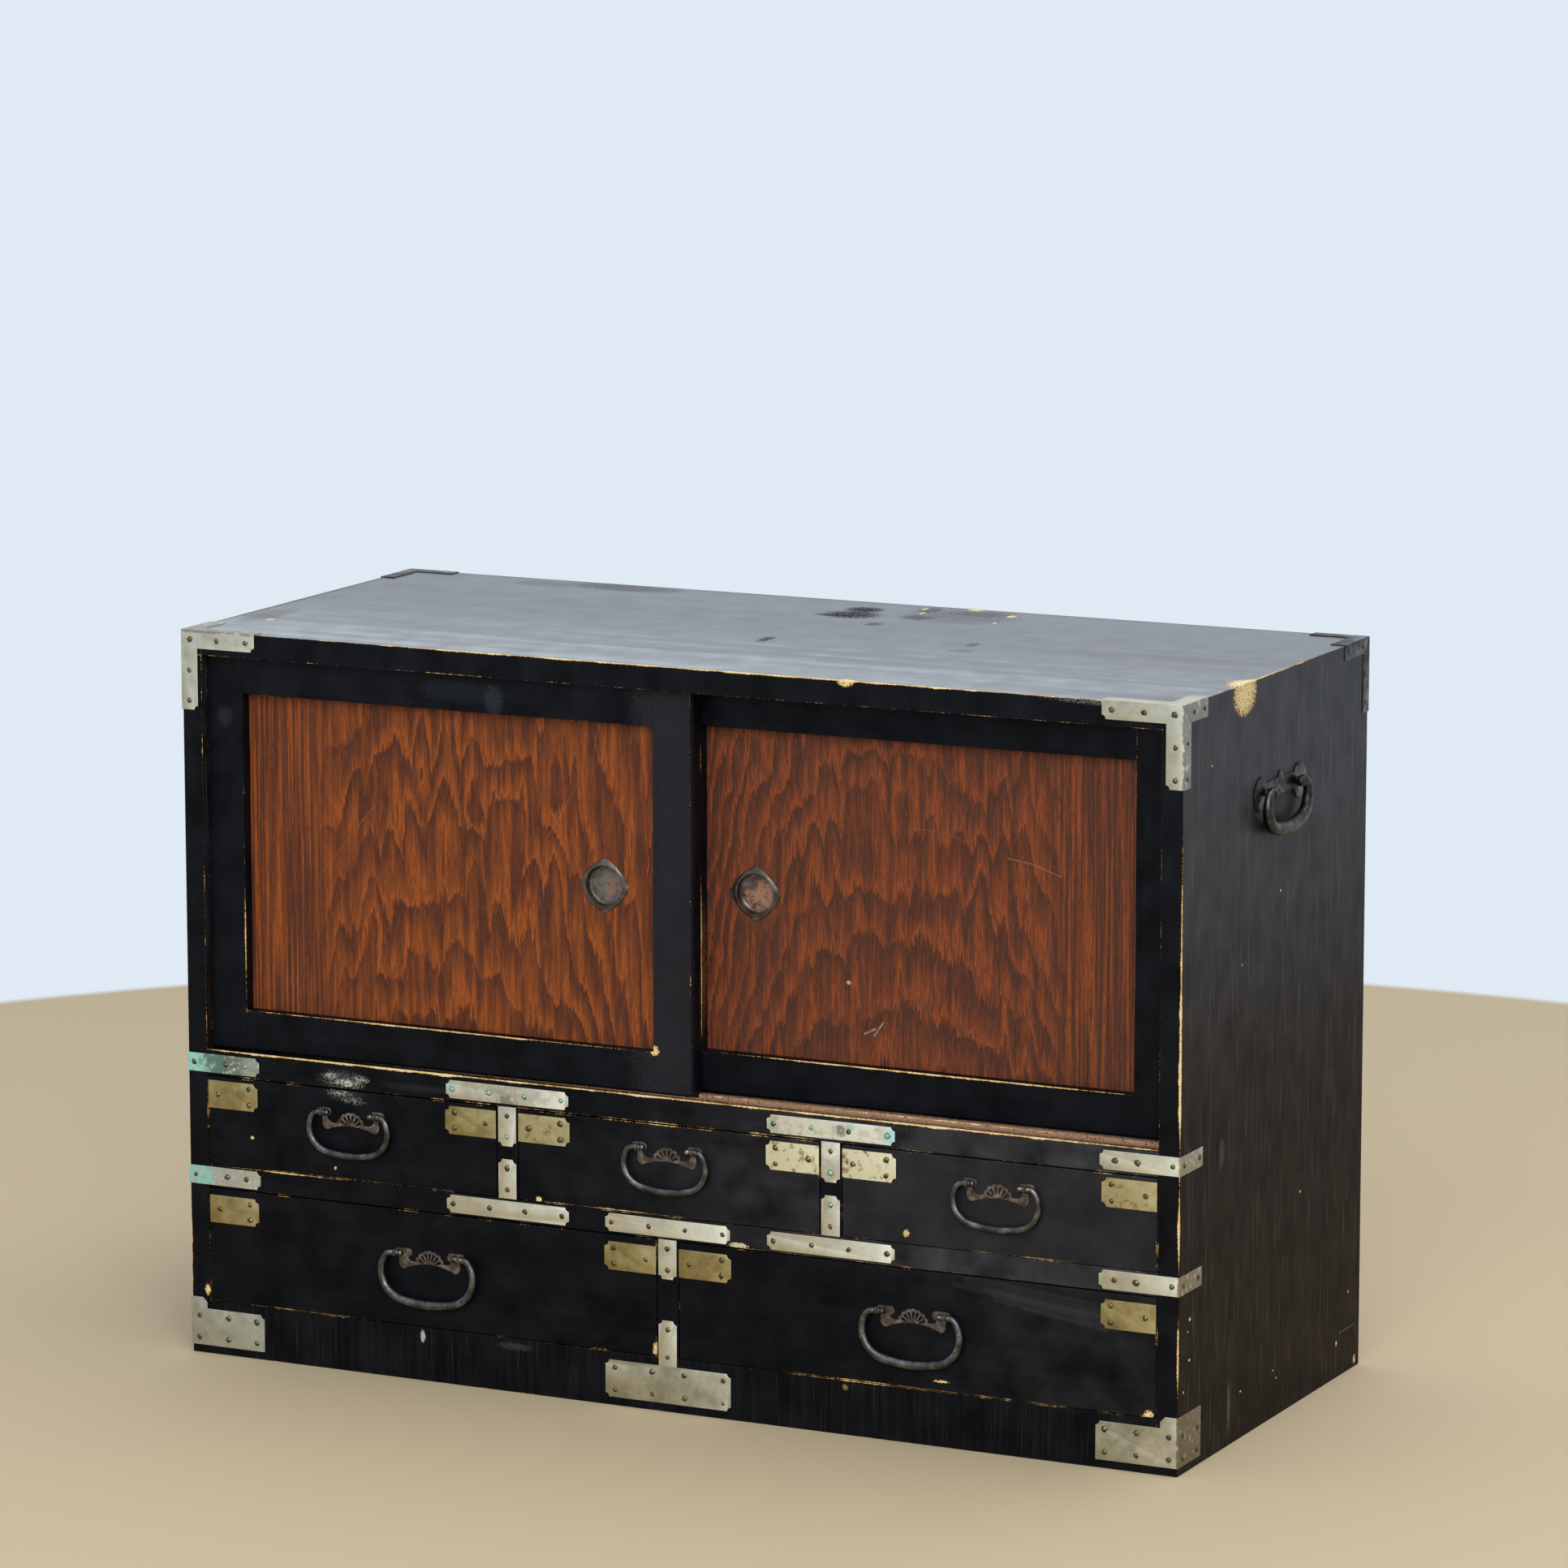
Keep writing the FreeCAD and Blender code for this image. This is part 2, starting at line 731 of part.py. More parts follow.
def door(name, hand, face):
    centre = (inner_half - size("door_end_gap") - door_width / 2) * hand
    seat = {"x": centre, "y": face}
    thick, deep, play = size("door_thickness"), size("panel_groove"), size("panel_play")
    low, high = sill_top + size("sill_gap"), head_low - size("head_gap")
    foot, head = sill_floor + size("tongue_rest_gap"), head_low + size("head_tongue")
    near, far = tongue_set, tongue_set + size("tongue_thickness")
    panel_near = size("panel_set")
    panel_far = panel_near + size("panel_thickness")
    opening_low, opening_high = low + size("bottom_rail_height"), high - size("top_rail_height")
    panel_low, panel_high = opening_low - deep, opening_high + deep
    half = door_width / 2
    inner = half - size("stile_width")
    foot_profile = [
        (zero, low), (near, low), (near, foot), (far, foot), (far, low), (thick, low),
    ]
    head_profile = [
        (thick, high), (far, high), (far, head), (near, head), (near, high), (zero, high),
    ]

    def stile(side):
        outline = foot_profile + head_profile
        body = board("stile", "side", outline, *between(half * side, inner * side), **seat)
        slot = between(inner * side, (inner + deep) * side)
        pocket(body, "plan", rectangle(*slot, panel_near, panel_far), low, high)
        return body

    def door_rail(outline, tenon_low, tenon_high):
        body = board("rail", "side", outline, -inner, inner, **seat)
        tenon = rectangle(panel_near, panel_far, tenon_low, tenon_high)
        pad(body, "side", tenon, -inner - deep, inner + deep)
        return body

    bottom_outline = foot_profile + [
        (thick, opening_low), (panel_far, opening_low), (panel_far, panel_low),
        (panel_near, panel_low), (panel_near, opening_low), (zero, opening_low),
    ]
    top_outline = [
        (zero, opening_high), (panel_near, opening_high), (panel_near, panel_high),
        (panel_far, panel_high), (panel_far, opening_high), (thick, opening_high),
    ] + head_profile
    group(name + "_door_stiles", [stile(-1), stile(1)])
    group(name + "_door_rails", [
        door_rail(bottom_outline, low, panel_low), door_rail(top_outline, panel_high, high),
    ])

    reach = inner + deep - play
    pull_x = (half - size(name + "_pull_inset")) * -hand
    pull_z = sill_top + size("pull_rise")
    hole = size("cup_radius") + size("cup_wall") + size("pull_hole_play")
    panel = new_body(name + "_door_panel", **seat)
    outline = rectangle(-reach, reach, panel_low + play, panel_high - play)
    pad(panel, "front", outline, panel_near, panel_far, holes=[(pull_x, pull_z, hole)])
    nodes.append(panel)
    pull(name + "_door_pull", x=centre + pull_x, y=face + panel_near, z=pull_z)


def front_arcs(feature, radius, face):
    # Names of the arcs of one radius that lie on a feature's front face
    names = []
    for number, line in enumerate(feature.Shape.Edges, start=1):
        in_front = line.BoundBox.YMax < face.value / 2
        if in_front and math.isclose(getattr(line.Curve, "Radius", 0.0), radius.value):
            names.append("Edge%d" % number)
    return names


def pull(label, **seat):
    # Pointed rim on the panel's face, round a turned cup that passes through the panel
    body = new_body(label, **seat)
    reach, rim = size("pull_reach"), size("pull_rim_thickness")
    edge = arc_radius(reach * math.sqrt(0.5), size("pull_edge_bulge"))
    bore, wall, corner = size("cup_radius"), size("cup_wall"), size("cup_corner")
    deep, rise = size("cup_depth"), size("lip_height")
    lip, ridge = bore + size("lip_width"), bore + size("lip_width") / 2
    points = ((reach, zero), (zero, reach), (-reach, zero), (zero, -reach))
    outline = [point + (edge,) for point in points]
    plate = pad(body, "front", outline, -rim, zero, holes=[(zero, zero, ridge)])
    doc.recompute()
    chamfer = body.newObject("PartDesign::Chamfer", "Chamfer")
    chamfer.Base = (plate, front_arcs(plate, edge, -rim))
    chamfer.setExpression("Size", size("pull_rim_chamfer").text)
    sketch = new_sketch(body, "plan")
    draw(sketch, [
        (zero, deep), (bore - corner, deep), (bore, deep - corner), (bore, -rise),
        (ridge, -rise), (lip, -rim), (lip, zero), (bore + wall, zero),
        (bore + wall, deep - corner), (bore + wall - corner, deep + wall), (zero, deep + wall),
    ])
    turned = body.newObject("PartDesign::Revolution", "Revolution")
    turned.Profile = sketch
    turned.ReferenceAxis = (sketch, ["V_Axis"])
    turned.Angle = 360.0
    nodes.append(body)


# Handles: a plate with two eyes, and a bail whose turned ends swing in them

def handle(kind, eyes):
    own = ("eye_reach", "standoff", "drop", "tip_radius", "belly_radius")
    shared = (
        "plate_sheet", "eye_width", "eye_radius", "neck_radius", "neck_play",
        "bead_width", "bead_radius", "bead_play", "knob_length",
    )
    form = {name: size("%s_%s" % (kind, name)) for name in own}
    form.update({name: size("%s_%s" % (eyes, name)) for name in shared})
    return form


handles = {
    "small": handle("small", "drawer"),
    "large": handle("large", "drawer"),
    "side": handle("side", "side"),
}


def add_eyes(body, form, rise):
    # Round eyes on short shanks, which stand out from the plate at each end
    sheet_front, centre = -form["plate_sheet"], -form["standoff"]
    radius = form["eye_radius"]
    ring = [polar(radius, angle) for angle in eye_angles]
    outline = [(sheet_front, rise + ring[-1][1]), (sheet_front, rise + ring[0][1])]
    outline.append((centre + ring[0][0], rise + ring[0][1]))
    outline += [(centre + along, rise + up, radius) for along, up in ring[1:]]
    hole = (centre, rise, form["neck_radius"] + form["neck_play"])
    for hand in (-1, 1):
        middle, half = form["eye_reach"] * hand, form["eye_width"] / 2
        pad(body, "side", outline, middle - half, middle + half, holes=[hole])


def mirror_half(right, lead=()):
    # The left half of a symmetrical outline, walked down from its top. lead holds the
    # radius of the arc that reaches its first corner, where there is one.
    left = []
    for index in range(len(right) - 1, -1, -1):
        radius = right[index + 1][2:] if index + 1 < len(right) else lead
        left.append((-right[index][0], right[index][1]) + tuple(radius))
    return left


def drawer_handle_plate(label, kind, **seat):
    # Arched plate with a pierced, scalloped fan in its middle and an ear behind each eye.
    # The fan's centre is the origin.
    form, count = handles[kind], lobe_counts[kind]
    body = new_body(label, **seat)
    radius, drop = size(kind + "_fan_radius"), size(kind + "_fan_drop")
    ear, heel = size("ear_height") / 2, size("heel_radius")
    ear_centre = form["eye_reach"] - size(kind + "_ear_shift")
    ear_out = ear_centre + size(kind + "_ear_reach") - ear
    ear_in = ear_centre - size(kind + "_ear_reach") + ear
    foot = ear_out - size(kind + "_heel_set")
    foot_low, saddle = -size(kind + "_foot_drop"), size(kind + "_saddle")
    arch = arc_radius(foot - heel, size(kind + "_arch_rise"))
    bay = drop - ear - saddle
    right = [
        (foot - heel, foot_low, -arch), (foot, foot_low + heel, heel),
        (foot, drop - ear), (ear_out, drop - ear),
        (ear_out + ear, drop, ear), (ear_out, drop + ear, ear),
        (ear_in, drop + ear), (ear_in - ear, drop, ear), (ear_in, drop - ear, ear),
        (ear_in - bay, saddle, -bay),
    ]
    lobe_angle = (180.0 - 2 * fan_start_angle) / count
    half_lobe = polar(radius * valley_share, lobe_angle / 2)
    lobe = arc_radius(half_lobe[1], radius - half_lobe[0])
    fan = [polar(radius * valley_share, fan_start_angle)]
    for index in range(1, count + 1):
        valley = polar(radius * valley_share, fan_start_angle + lobe_angle * index)
        fan.append(valley + (lobe,))
    sheet_front = -form["plate_sheet"]
    pad(body, "front", right + fan + mirror_half(right), sheet_front, zero)
    add_eyes(body, form, drop)

    near, far = radius * slot_near_share, radius * slot_far_share
    root, end = radius * slot_root_share, radius * slot_end_share
    spoke = fan_start_angle + lobe_angle / 2

    def on_spoke(along, aside):
        first, second = polar(along, spoke), polar(aside, spoke)
        return first[0] - second[1], first[1] + second[0]

    slot = pocket(body, "front", [
        on_spoke(near, -root) + (root,), on_spoke(far, -end),
        on_spoke(far + end, zero) + (end,), on_spoke(far, end) + (end,),
        on_spoke(near, root), on_spoke(near - root, zero) + (root,),
    ], sheet_front, zero)
    pattern = body.newObject("PartDesign::PolarPattern", "PolarPattern")
    pattern.Originals = [slot]
    pattern.Axis = (slot.Profile[0], ["N_Axis"])
    pattern.Angle = lobe_angle * (count - 1)
    pattern.Occurrences = count
    body.Tip = pattern
    nodes.append(body)


def side_handle_plate(seat):
    # Bar with a round lobe behind each eye and a small peak in the middle of its top
    form = handles["side"]
    body = new_body("side_handle_plate", **seat)
    radius, peak_width = size("side_lobe_radius"), size("side_peak_width")
    reach, fall = size("side_lobe_reach"), size("side_lobe_drop")
    lobes = [polar(radius, angle) for angle in lobe_angles]
    right = [(reach + lobes[0][0], lobes[0][1] - fall)]
    right += [(reach + across, up - fall, radius) for across, up in lobes[1:]]
    bar_top = right[-1][1]
    right.append((peak_width, bar_top))
    sweep = -arc_radius(peak_width, size("side_peak_rise"))
    peak = [(zero, bar_top + size("side_peak_rise"), sweep)]
    outline = right + peak + mirror_half(right, (sweep,))
    pad(body, "front", outline, -form["plate_sheet"], zero)
    add_eyes(body, form, zero)
    return body


def bail_end(form, hand):
    # Turned end of a bail: the knob, the inner bead, the neck in the eye, the outer bead
    length = {name: form[name].value for name in form}
    bead, width = length["bead_radius"], length["bead_width"]
    half = length["eye_width"] / 2 + length["bead_play"]
    near, far = length["eye_reach"] - half, length["eye_reach"] + half
    tip = near - width - length["knob_length"]
    profile = [(tip + length["knob_length"] * along, bead * up) for along, up in knob_shares]
    profile += [(near - width + width * along, bead * up) for along, up in bead_shares]
    profile += [(near, length["neck_radius"]), (far, length["neck_radius"])]
    profile += [(far + width * along, bead * up) for along, up in bead_shares]
    profile += [(far + width, 0), (tip, 0)]
    wire = Part.makePolygon([V(across * hand, 0, up) for across, up in profile])
    return Part.Face(wire).revolve(V(), V(1, 0, 0), 360)


def bail_rings(form, kind):
    # Rings of the wire from its right end down to the middle of its belly: the distance
    # out, the height over the pivots, the wire's heading below the horizontal and its
    # radius. Three tangent arcs carry them.
    drop = form["drop"].value
    start = (form["eye_reach"] + form["eye_width"] / 2 + form["bead_play"]
             + form["bead_width"]).value
    shoulder, haunch = drop * shoulder_shares[kind], drop * haunch_shares[kind]
    turn = math.radians(shoulder_angle)
    across = start - (haunch - shoulder) * math.sin(turn)
    down = shoulder + (haunch - shoulder) * math.cos(turn)
    last_turn = 2 * math.atan2(across, drop - down - haunch)
    belly = haunch + across / math.sin(last_turn)
    arcs = (
        (start, -shoulder, shoulder, 0.0, turn),
        (across, -down, haunch, turn, last_turn),
        (0.0, belly - drop, belly, last_turn, math.pi),
    )
    total = sum(radius * (last - first) for _, _, radius, first, last in arcs)
    thin, swell = form["tip_radius"].value, (form["belly_radius"] - form["tip_radius"]).value
    rings, run = [], 0.0
    for (centre, level, radius, first, last), steps in zip(arcs, bail_steps):
        for step in range(steps):
            heading = first + (last - first) * step / steps
            share = (run + radius * (heading - first)) / total
            rings.append((
                centre + radius * math.sin(heading), level + radius * math.cos(heading),
                heading, thin + swell * math.sin(share * math.pi / 2),
            ))
        run += radius * (last - first)
    return rings + [(0.0, -drop, math.pi, thin + swell)]


def bail(label, kind, **seat):
    form = handles[kind]
    right = bail_rings(form, kind)
    left = [(-out, up, 2 * math.pi - heading, radius) for out, up, heading, radius in right]
    wires = []
    for out, up, heading, radius in right + left[-2::-1]:
        along, across = V(math.cos(heading), 0, -math.sin(heading)), V(0, 1, 0)
        ring = Part.Circle()
        ring.Radius = radius
        wire = Part.Wire(ring.toShape())
        turn = FreeCAD.Rotation(across, along.cross(across), along, "ZXY")
        wire.Placement = FreeCAD.Placement(V(out, 0, up), turn)
        wires.append(wire)
    piece = doc.addObject("Part::Feature", "Bail")
    wire = Part.makeLoft(wires, True, True)
    piece.Shape = wire.fuse([bail_end(form, -1), bail_end(form, 1)])
    piece.Label = label
    place(piece, **seat)
    nodes.append(piece)


# Drawers: a thick lacquered front, lapped over thin sides, and a floor under them

def drawer(name, kind, centre, low, width, tall):
    half = width / 2 - size("drawer_side_play")
    wall, lap = size("drawer_side_thickness"), size("drawer_lap")
    front_low, front_high = size("drawer_bottom_play"), tall - size("drawer_top_play")
    front_thick, rear = size("drawer_front_thickness"), back_face - size("drawer_rear_gap")
    floor_low = size("drawer_run_gap")
    floor_top = floor_low + size("drawer_floor_thickness")
    floor_front = front_thick - size("drawer_floor_rebate")
    side_top = front_high - size("drawer_side_drop")
    inner = half - wall
    seat = {"x": centre, "z": low}

    outline = [
        (-half, zero), (half, zero), (half, lap), (inner, lap), (inner, front_thick),
        (-inner, front_thick), (-inner, lap), (-half, lap),
    ]
    front = board(name + "_front", "plan", outline, front_low, front_high, **seat)
    rebate = rectangle(floor_front, front_thick, front_low, floor_top)
    pocket(front, "side", rebate, -half, half)
    nodes.append(front)

    outline = rectangle(lap, rear, floor_top, side_top)
    box = [
        board("drawer_side", "side", outline, *between(half * hand, inner * hand), **seat)
        for hand in (-1, 1)
    ]
    outline = rectangle(-inner, inner, floor_top, side_top)
    box.append(board("drawer_back", "front", outline, rear - wall, rear, **seat))
    outline = rectangle(-half, half, floor_front, rear)
    box.append(board("drawer_floor", "plan", outline, floor_low, floor_top, **seat))
    group(name + "_box", box)

    plate_high = tall - size(kind + "_plate_drop")
    plate_low = plate_high - size("drawer_plate_height")
    plates = []
    for hand in (-1, 1):
        across = between((half - size("drawer_plate_width")) * hand, half * hand)
        outline = notched(
            *across, plate_low, plate_high, size("drawer_plate_notch"), inner_corners(hand))
        plates.append(face_plate("corner_plate", outline, **seat))
    group(name + "_corner_plates", plates)

    pivot = low + size(kind + "_pivot_rise")
    fan_level = pivot - size(kind + "_fan_drop")
    drawer_handle_plate(name + "_handle_plate", kind, x=centre, z=fan_level)
    bail(name + "_bail", kind, x=centre, y=-handles[kind]["standoff"], z=pivot)


def side_handles():
    plates = []
    for name, hand in (("left", -1), ("right", 1)):
        seat = {
            "y": size("side_handle_setback"), "z": height - size("side_handle_drop"),
            "turn": 90.0 * hand,
        }
        plates.append(side_handle_plate(dict(seat, x=half_width * hand)))
        pivot_x = (half_width + handles["side"]["standoff"]) * hand
        bail(name + "_side_bail", "side", x=pivot_x, **seat)
    group("side_handle_plates", plates)


door("left", -1, front_door_face)
door("right", 1, rear_door_face)
for name, position in (("upper_left", -1), ("upper_middle", 0), ("upper_right", 1)):
    drawer(name + "_drawer", "small", small_drawer_centre * position, middle_top,
           small_opening_width, size("small_opening_height"))
for name, position in (("lower_left", -1), ("lower_right", 1)):
    drawer(name + "_drawer", "large", large_drawer_centre * position, base_top,
           large_opening_width, size("large_opening_height"))
side_handles()


# Every object has to be sound, and every cut has to remove something, before any is saved.
doc.recompute()
for item in doc.Objects:
    if {"Invalid", "Error"} & set(item.State):
        raise RuntimeError("%s failed: %s" % (item.Label, item.State))
for cut in cuts:
    if cut.BaseFeature.Shape.Volume <= cut.Shape.Volume:
        raise RuntimeError("%s removes nothing" % cut.Name)
for body in bodies:
    if len(body.Shape.Solids) != 1:
        raise RuntimeError("%s isn't one solid" % body.Label)
for piece in nodes:
    if piece.Shape.isNull() or not piece.Shape.isValid() or piece.Shape.Volume <= 0:
        raise RuntimeError("%s has no sound shape" % piece.Label)

os.makedirs("parts", exist_ok=True)
for piece in nodes:
    piece.Shape.exportStep("parts/%s.step" % piece.Label)
box = Part.makeCompound([piece.Shape for piece in nodes]).BoundBox
print(len(nodes), "nodes,", len(doc.Objects), "objects")
print("box", [round(value, 2) for value in (
    box.XMin, box.XMax, box.YMin, box.YMax, box.ZMin, box.ZMax)])
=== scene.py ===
import bmesh
import bpy
import json
import math
import numpy as np
from functools import partial, reduce
from mathutils import Matrix, Vector


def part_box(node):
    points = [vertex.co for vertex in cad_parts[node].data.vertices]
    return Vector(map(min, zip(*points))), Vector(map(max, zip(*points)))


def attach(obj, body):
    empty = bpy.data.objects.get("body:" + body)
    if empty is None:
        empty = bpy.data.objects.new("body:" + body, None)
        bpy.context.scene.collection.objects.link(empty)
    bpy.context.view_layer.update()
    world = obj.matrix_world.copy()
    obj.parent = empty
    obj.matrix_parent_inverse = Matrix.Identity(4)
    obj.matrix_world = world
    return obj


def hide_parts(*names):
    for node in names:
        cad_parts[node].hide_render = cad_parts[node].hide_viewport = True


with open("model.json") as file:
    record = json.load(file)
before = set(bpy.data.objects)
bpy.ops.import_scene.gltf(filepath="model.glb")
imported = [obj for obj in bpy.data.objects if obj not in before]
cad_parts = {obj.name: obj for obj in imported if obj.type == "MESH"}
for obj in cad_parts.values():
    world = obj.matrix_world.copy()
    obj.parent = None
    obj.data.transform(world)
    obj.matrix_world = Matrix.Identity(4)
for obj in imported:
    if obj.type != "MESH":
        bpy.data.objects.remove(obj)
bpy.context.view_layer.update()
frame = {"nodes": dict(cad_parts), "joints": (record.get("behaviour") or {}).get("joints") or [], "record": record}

mm = 0.001
behaviour = frame["record"]["behaviour"]
bodyOf = {node: body for body, members in behaviour["bodies"].items() for node in members}
drawers = ["upper_left_drawer", "upper_middle_drawer", "upper_right_drawer",
           "lower_left_drawer", "lower_right_drawer"]
# Planes of the carcass in mm: its front and back, half its width, and its top
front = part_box("door_sill")[0].y / mm
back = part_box("back_boards")[1].y / mm
half, tall = 475.0, 650.0
print("frame:", len(frame["nodes"]), "nodes, front plane", round(front, 2))


# Camera, floor and light

view = {
    "place": (2622.5, -5326.8, 1561.2),  # mm
    "azimuth": 26.10,
    "elevation": 9.97,
    "roll": -0.05,
    "lens": 158.3,
    "sensor": 36.0,
}
stage = {
    "backdrop": "#e0eaf4",
    "floor": "#baa888",
    "floorReach": 1760.0,   # mm from the middle of the chest to where the floor fades
    "floorFade": 22.0,
    "worldLight": 0.66,
    "lamps": [  # place and size in m, power in W
        {"name": "window", "place": (1.9, -4.7, 3.1), "size": 4.4, "power": 265},
        {"name": "ceiling", "place": (0.6, 0.6, 3.6), "size": 3.4, "power": 70},
    ],
    "lampAim": (0, 0, 0.3),
}


def addObject(name, data):
    thing = bpy.data.objects.new(name, data)
    bpy.context.scene.collection.objects.link(thing)
    return thing


def hexColour(text):
    # sRGB hex value to linear red, green, blue and alpha
    parts = [int(text[start:start + 2], 16) / 255 for start in (1, 3, 5)]
    linear = [p / 12.92 if p <= 0.04045 else ((p + 0.055) / 1.055) ** 2.4 for p in parts]
    return tuple(linear) + (1.0,)


def feed(node, inputs):
    # Links or sets a node's sockets, by name or in order. A text is a hex colour.
    for socket, value in inputs.items() if isinstance(inputs, dict) else enumerate(inputs):
        if isinstance(value, bpy.types.NodeSocket):
            node.id_data.links.new(value, node.inputs[socket])
        elif value is not None:
            isColour = isinstance(value, str)
            node.inputs[socket].default_value = hexColour(value) if isColour else value


def addNode(tree, kind, inputs=(), output=0, stops=(), **settings):
    # Adds a node of a kind, which may name its operation too, with its settings and
    # inputs, and gives one of its outputs. stops are a ramp's places and colours. The
    # inputs of a noise are its place, w, scale, detail and roughness.
    kind, *operations = kind.split()
    node = tree.nodes.new("ShaderNode" + kind)
    for operation in operations:
        node.operation = operation
    for name, value in settings.items():
        setattr(node, name, value)
    feed(node, inputs)
    for index, (place, colour) in enumerate(stops):
        elements = node.color_ramp.elements
        element = elements[index] if index < len(elements) else elements.new(place)
        element.position, element.color = place, hexColour(colour)
    return node.outputs[output]


def startMaterial(name):
    # A material, a function that adds nodes to it, its shader, and its place in mm
    material = bpy.data.materials.new(name)
    material.use_nodes = True
    add = partial(addNode, material.node_tree)
    place = add("TexCoord", output="Object")
    point = add("VectorMath SCALE", {0: place, "Scale": 1 / mm})
    return material, add, material.node_tree.nodes["Principled BSDF"], point


colourMix = {"output": 2, "data_type": "RGBA"}  # for a Mix of colours: factor 0, from 6 to 7

camera = addObject("camera", bpy.data.cameras.new("camera"))
camera.data.lens = view["lens"]
camera.data.sensor_width = view["sensor"]
camera.data.clip_end = 100.0
camera.matrix_world = (
    Matrix.Translation([value * mm for value in view["place"]])
    @ Matrix.Rotation(math.radians(view["azimuth"]), 4, "Z")
    @ Matrix.Rotation(math.radians(90 - view["elevation"]), 4, "X")
    @ Matrix.Rotation(math.radians(view["roll"]), 4, "Z"))
bpy.context.scene.camera = camera
bpy.context.scene.view_settings.view_transform = "Standard"

# What the camera and mirrors see of the world is brighter than the light that it gives
world = bpy.data.worlds.new("paleRoom")
bpy.context.scene.world = world
world.use_nodes = True
add = partial(addNode, world.node_tree)
rays = add("LightPath").node.outputs
seen = add("Math ADD", [rays["Is Camera Ray"], rays["Is Glossy Ray"]])
seen = add("Math ADD", [seen, rays["Is Transmission Ray"]], use_clamp=True)
strength = add("MapRange", [seen, 0.0, 1.0, stage["worldLight"], 1.0])
feed(world.node_tree.nodes["Background"], {"Color": stage["backdrop"], "Strength": strength})

floorMesh = bpy.data.meshes.new("floor")
floorAngles = np.linspace(0, 2 * math.pi, 96, endpoint=False)
floorEnd = stage["floorReach"] + stage["floorFade"]
floorSpan = floorEnd * 1.01 * mm
floorMesh.from_pydata(
    [(floorSpan * math.cos(a), floorSpan * math.sin(a), 0) for a in floorAngles], [],
    [tuple(range(len(floorAngles)))])
floor = addObject("floor", floorMesh)
# Matte floor paint, which thins out to the backdrop at its rim
floorMaterial, add, shader, point = startMaterial("matteFloorPaint")
feed(shader, {"Base Color": stage["floor"], "Roughness": 0.8})
away = add("VectorMath LENGTH", [point], "Value")
away = add("MapRange", [away, stage["floorReach"], floorEnd])
faded = add("MixShader", [away, shader.outputs[0], add("BsdfTransparent")])
feed(floorMaterial.node_tree.nodes["Material Output"], {"Surface": faded})
floorMesh.materials.append(floorMaterial)

for lamp in stage["lamps"]:
    light = bpy.data.lights.new(lamp["name"], "AREA")
    light.size = lamp["size"]
    light.energy = lamp["power"]
    holder = addObject(lamp["name"], light)
    holder.location = lamp["place"]
    away = Vector(lamp["place"]) - Vector(stage["lampAim"])
    holder.rotation_euler = away.to_track_quat("Z", "Y").to_euler()
print("camera, floor and light")


# Patterns that several finishes share. All their places and sizes are in mm.

def least(add, values):
    return reduce(lambda one, other: add("Math MINIMUM", [one, other]), values)


def edgeDistance(add, point, box, ways):
    # Distance to the nearest edge of a box, of those that run along the given ways.
    # Along X it is the larger of the depths under the Y and Z faces, and so on.
    low, high = [np.array(corner) for corner in box]
    offset = add("VectorMath SUBTRACT", [point, tuple((low + high) / 2)])
    offset = add("VectorMath ABSOLUTE", [offset])
    depth = add("VectorMath SUBTRACT", [tuple((high - low) / 2), offset])
    depth = add("VectorMath ABSOLUTE", [depth])
    x, y, z = add("SeparateXYZ", [depth]).node.outputs
    pairs = {"x": (y, z), "y": (x, z), "z": (x, y)}
    return least(add, [add("Math MAXIMUM", pairs[way]) for way in ways])


def lineDistance(add, point, place, way):
    # Distance to a line that runs along an axis through a place
    offset = add("VectorMath SUBTRACT", [point, place])
    share = tuple([0.0 if axis == way else 1.0 for axis in "xyz"])
    across = add("VectorMath MULTIPLY", [offset, share])
    return add("VectorMath LENGTH", [across], "Value")


def patch(add, point, centre, reach):
    # 1 at a centre, falling to 0 at an ellipsoid around it
    offset = add("VectorMath SUBTRACT", [point, centre])
    offset = add("VectorMath DIVIDE", [offset, reach])
    away = add("VectorMath LENGTH", [offset], "Value")
    return add("Math SUBTRACT", [1.0, away], use_clamp=True)


def scratch(add, point, start, end, width):
    # 1 within a width of the line between two places, fading to 0 at twice the width
    start, end = np.array(start, float), np.array(end, float)
    run = end - start
    offset = add("VectorMath SUBTRACT", [point, tuple(start)])
    along = add("VectorMath DOT_PRODUCT", [offset, tuple(run / (run @ run))], "Value")
    along = add("Clamp", [along])
    foot = add("VectorMath SCALE", {0: tuple(run), "Scale": along})
    away = add("VectorMath DISTANCE", [offset, foot], "Value")
    return add("MapRange", [away, width, width * 2, 1.0, 0.0])


def stretched(add, point, grain, stretch):
    # The point with its run along the grain shortened, so that a pattern draws out
    share = [1 / stretch if way == grain else 1.0 for way in "xyz"]
    return add("VectorMath MULTIPLY", [point, tuple(share)])


# Black lacquer over softwood. The film is thin and brushed: it gives a dull satin black
# with streaks along the grain, and wears through to pale wood on every edge.

lacquer = {
    "undercoat": "#55331b",
    "tan": "#bd9150",
    "cream": "#dcc994",
    "dust": "#8d8d8c",
    "cloudWidth": 34.0,    # mm
    "scuffWidth": 1.3,
    "grainStretch": 45.0,
    "raggedSize": 1.5,     # grain of the torn border of the film
    "wearRun": 30.0,       # length of a worn run along an edge
    "speckSpacing": 46.0,
    "speckSize": 0.7,
    "speckShow": 0.4,
    "brushDepth": 0.02,
}
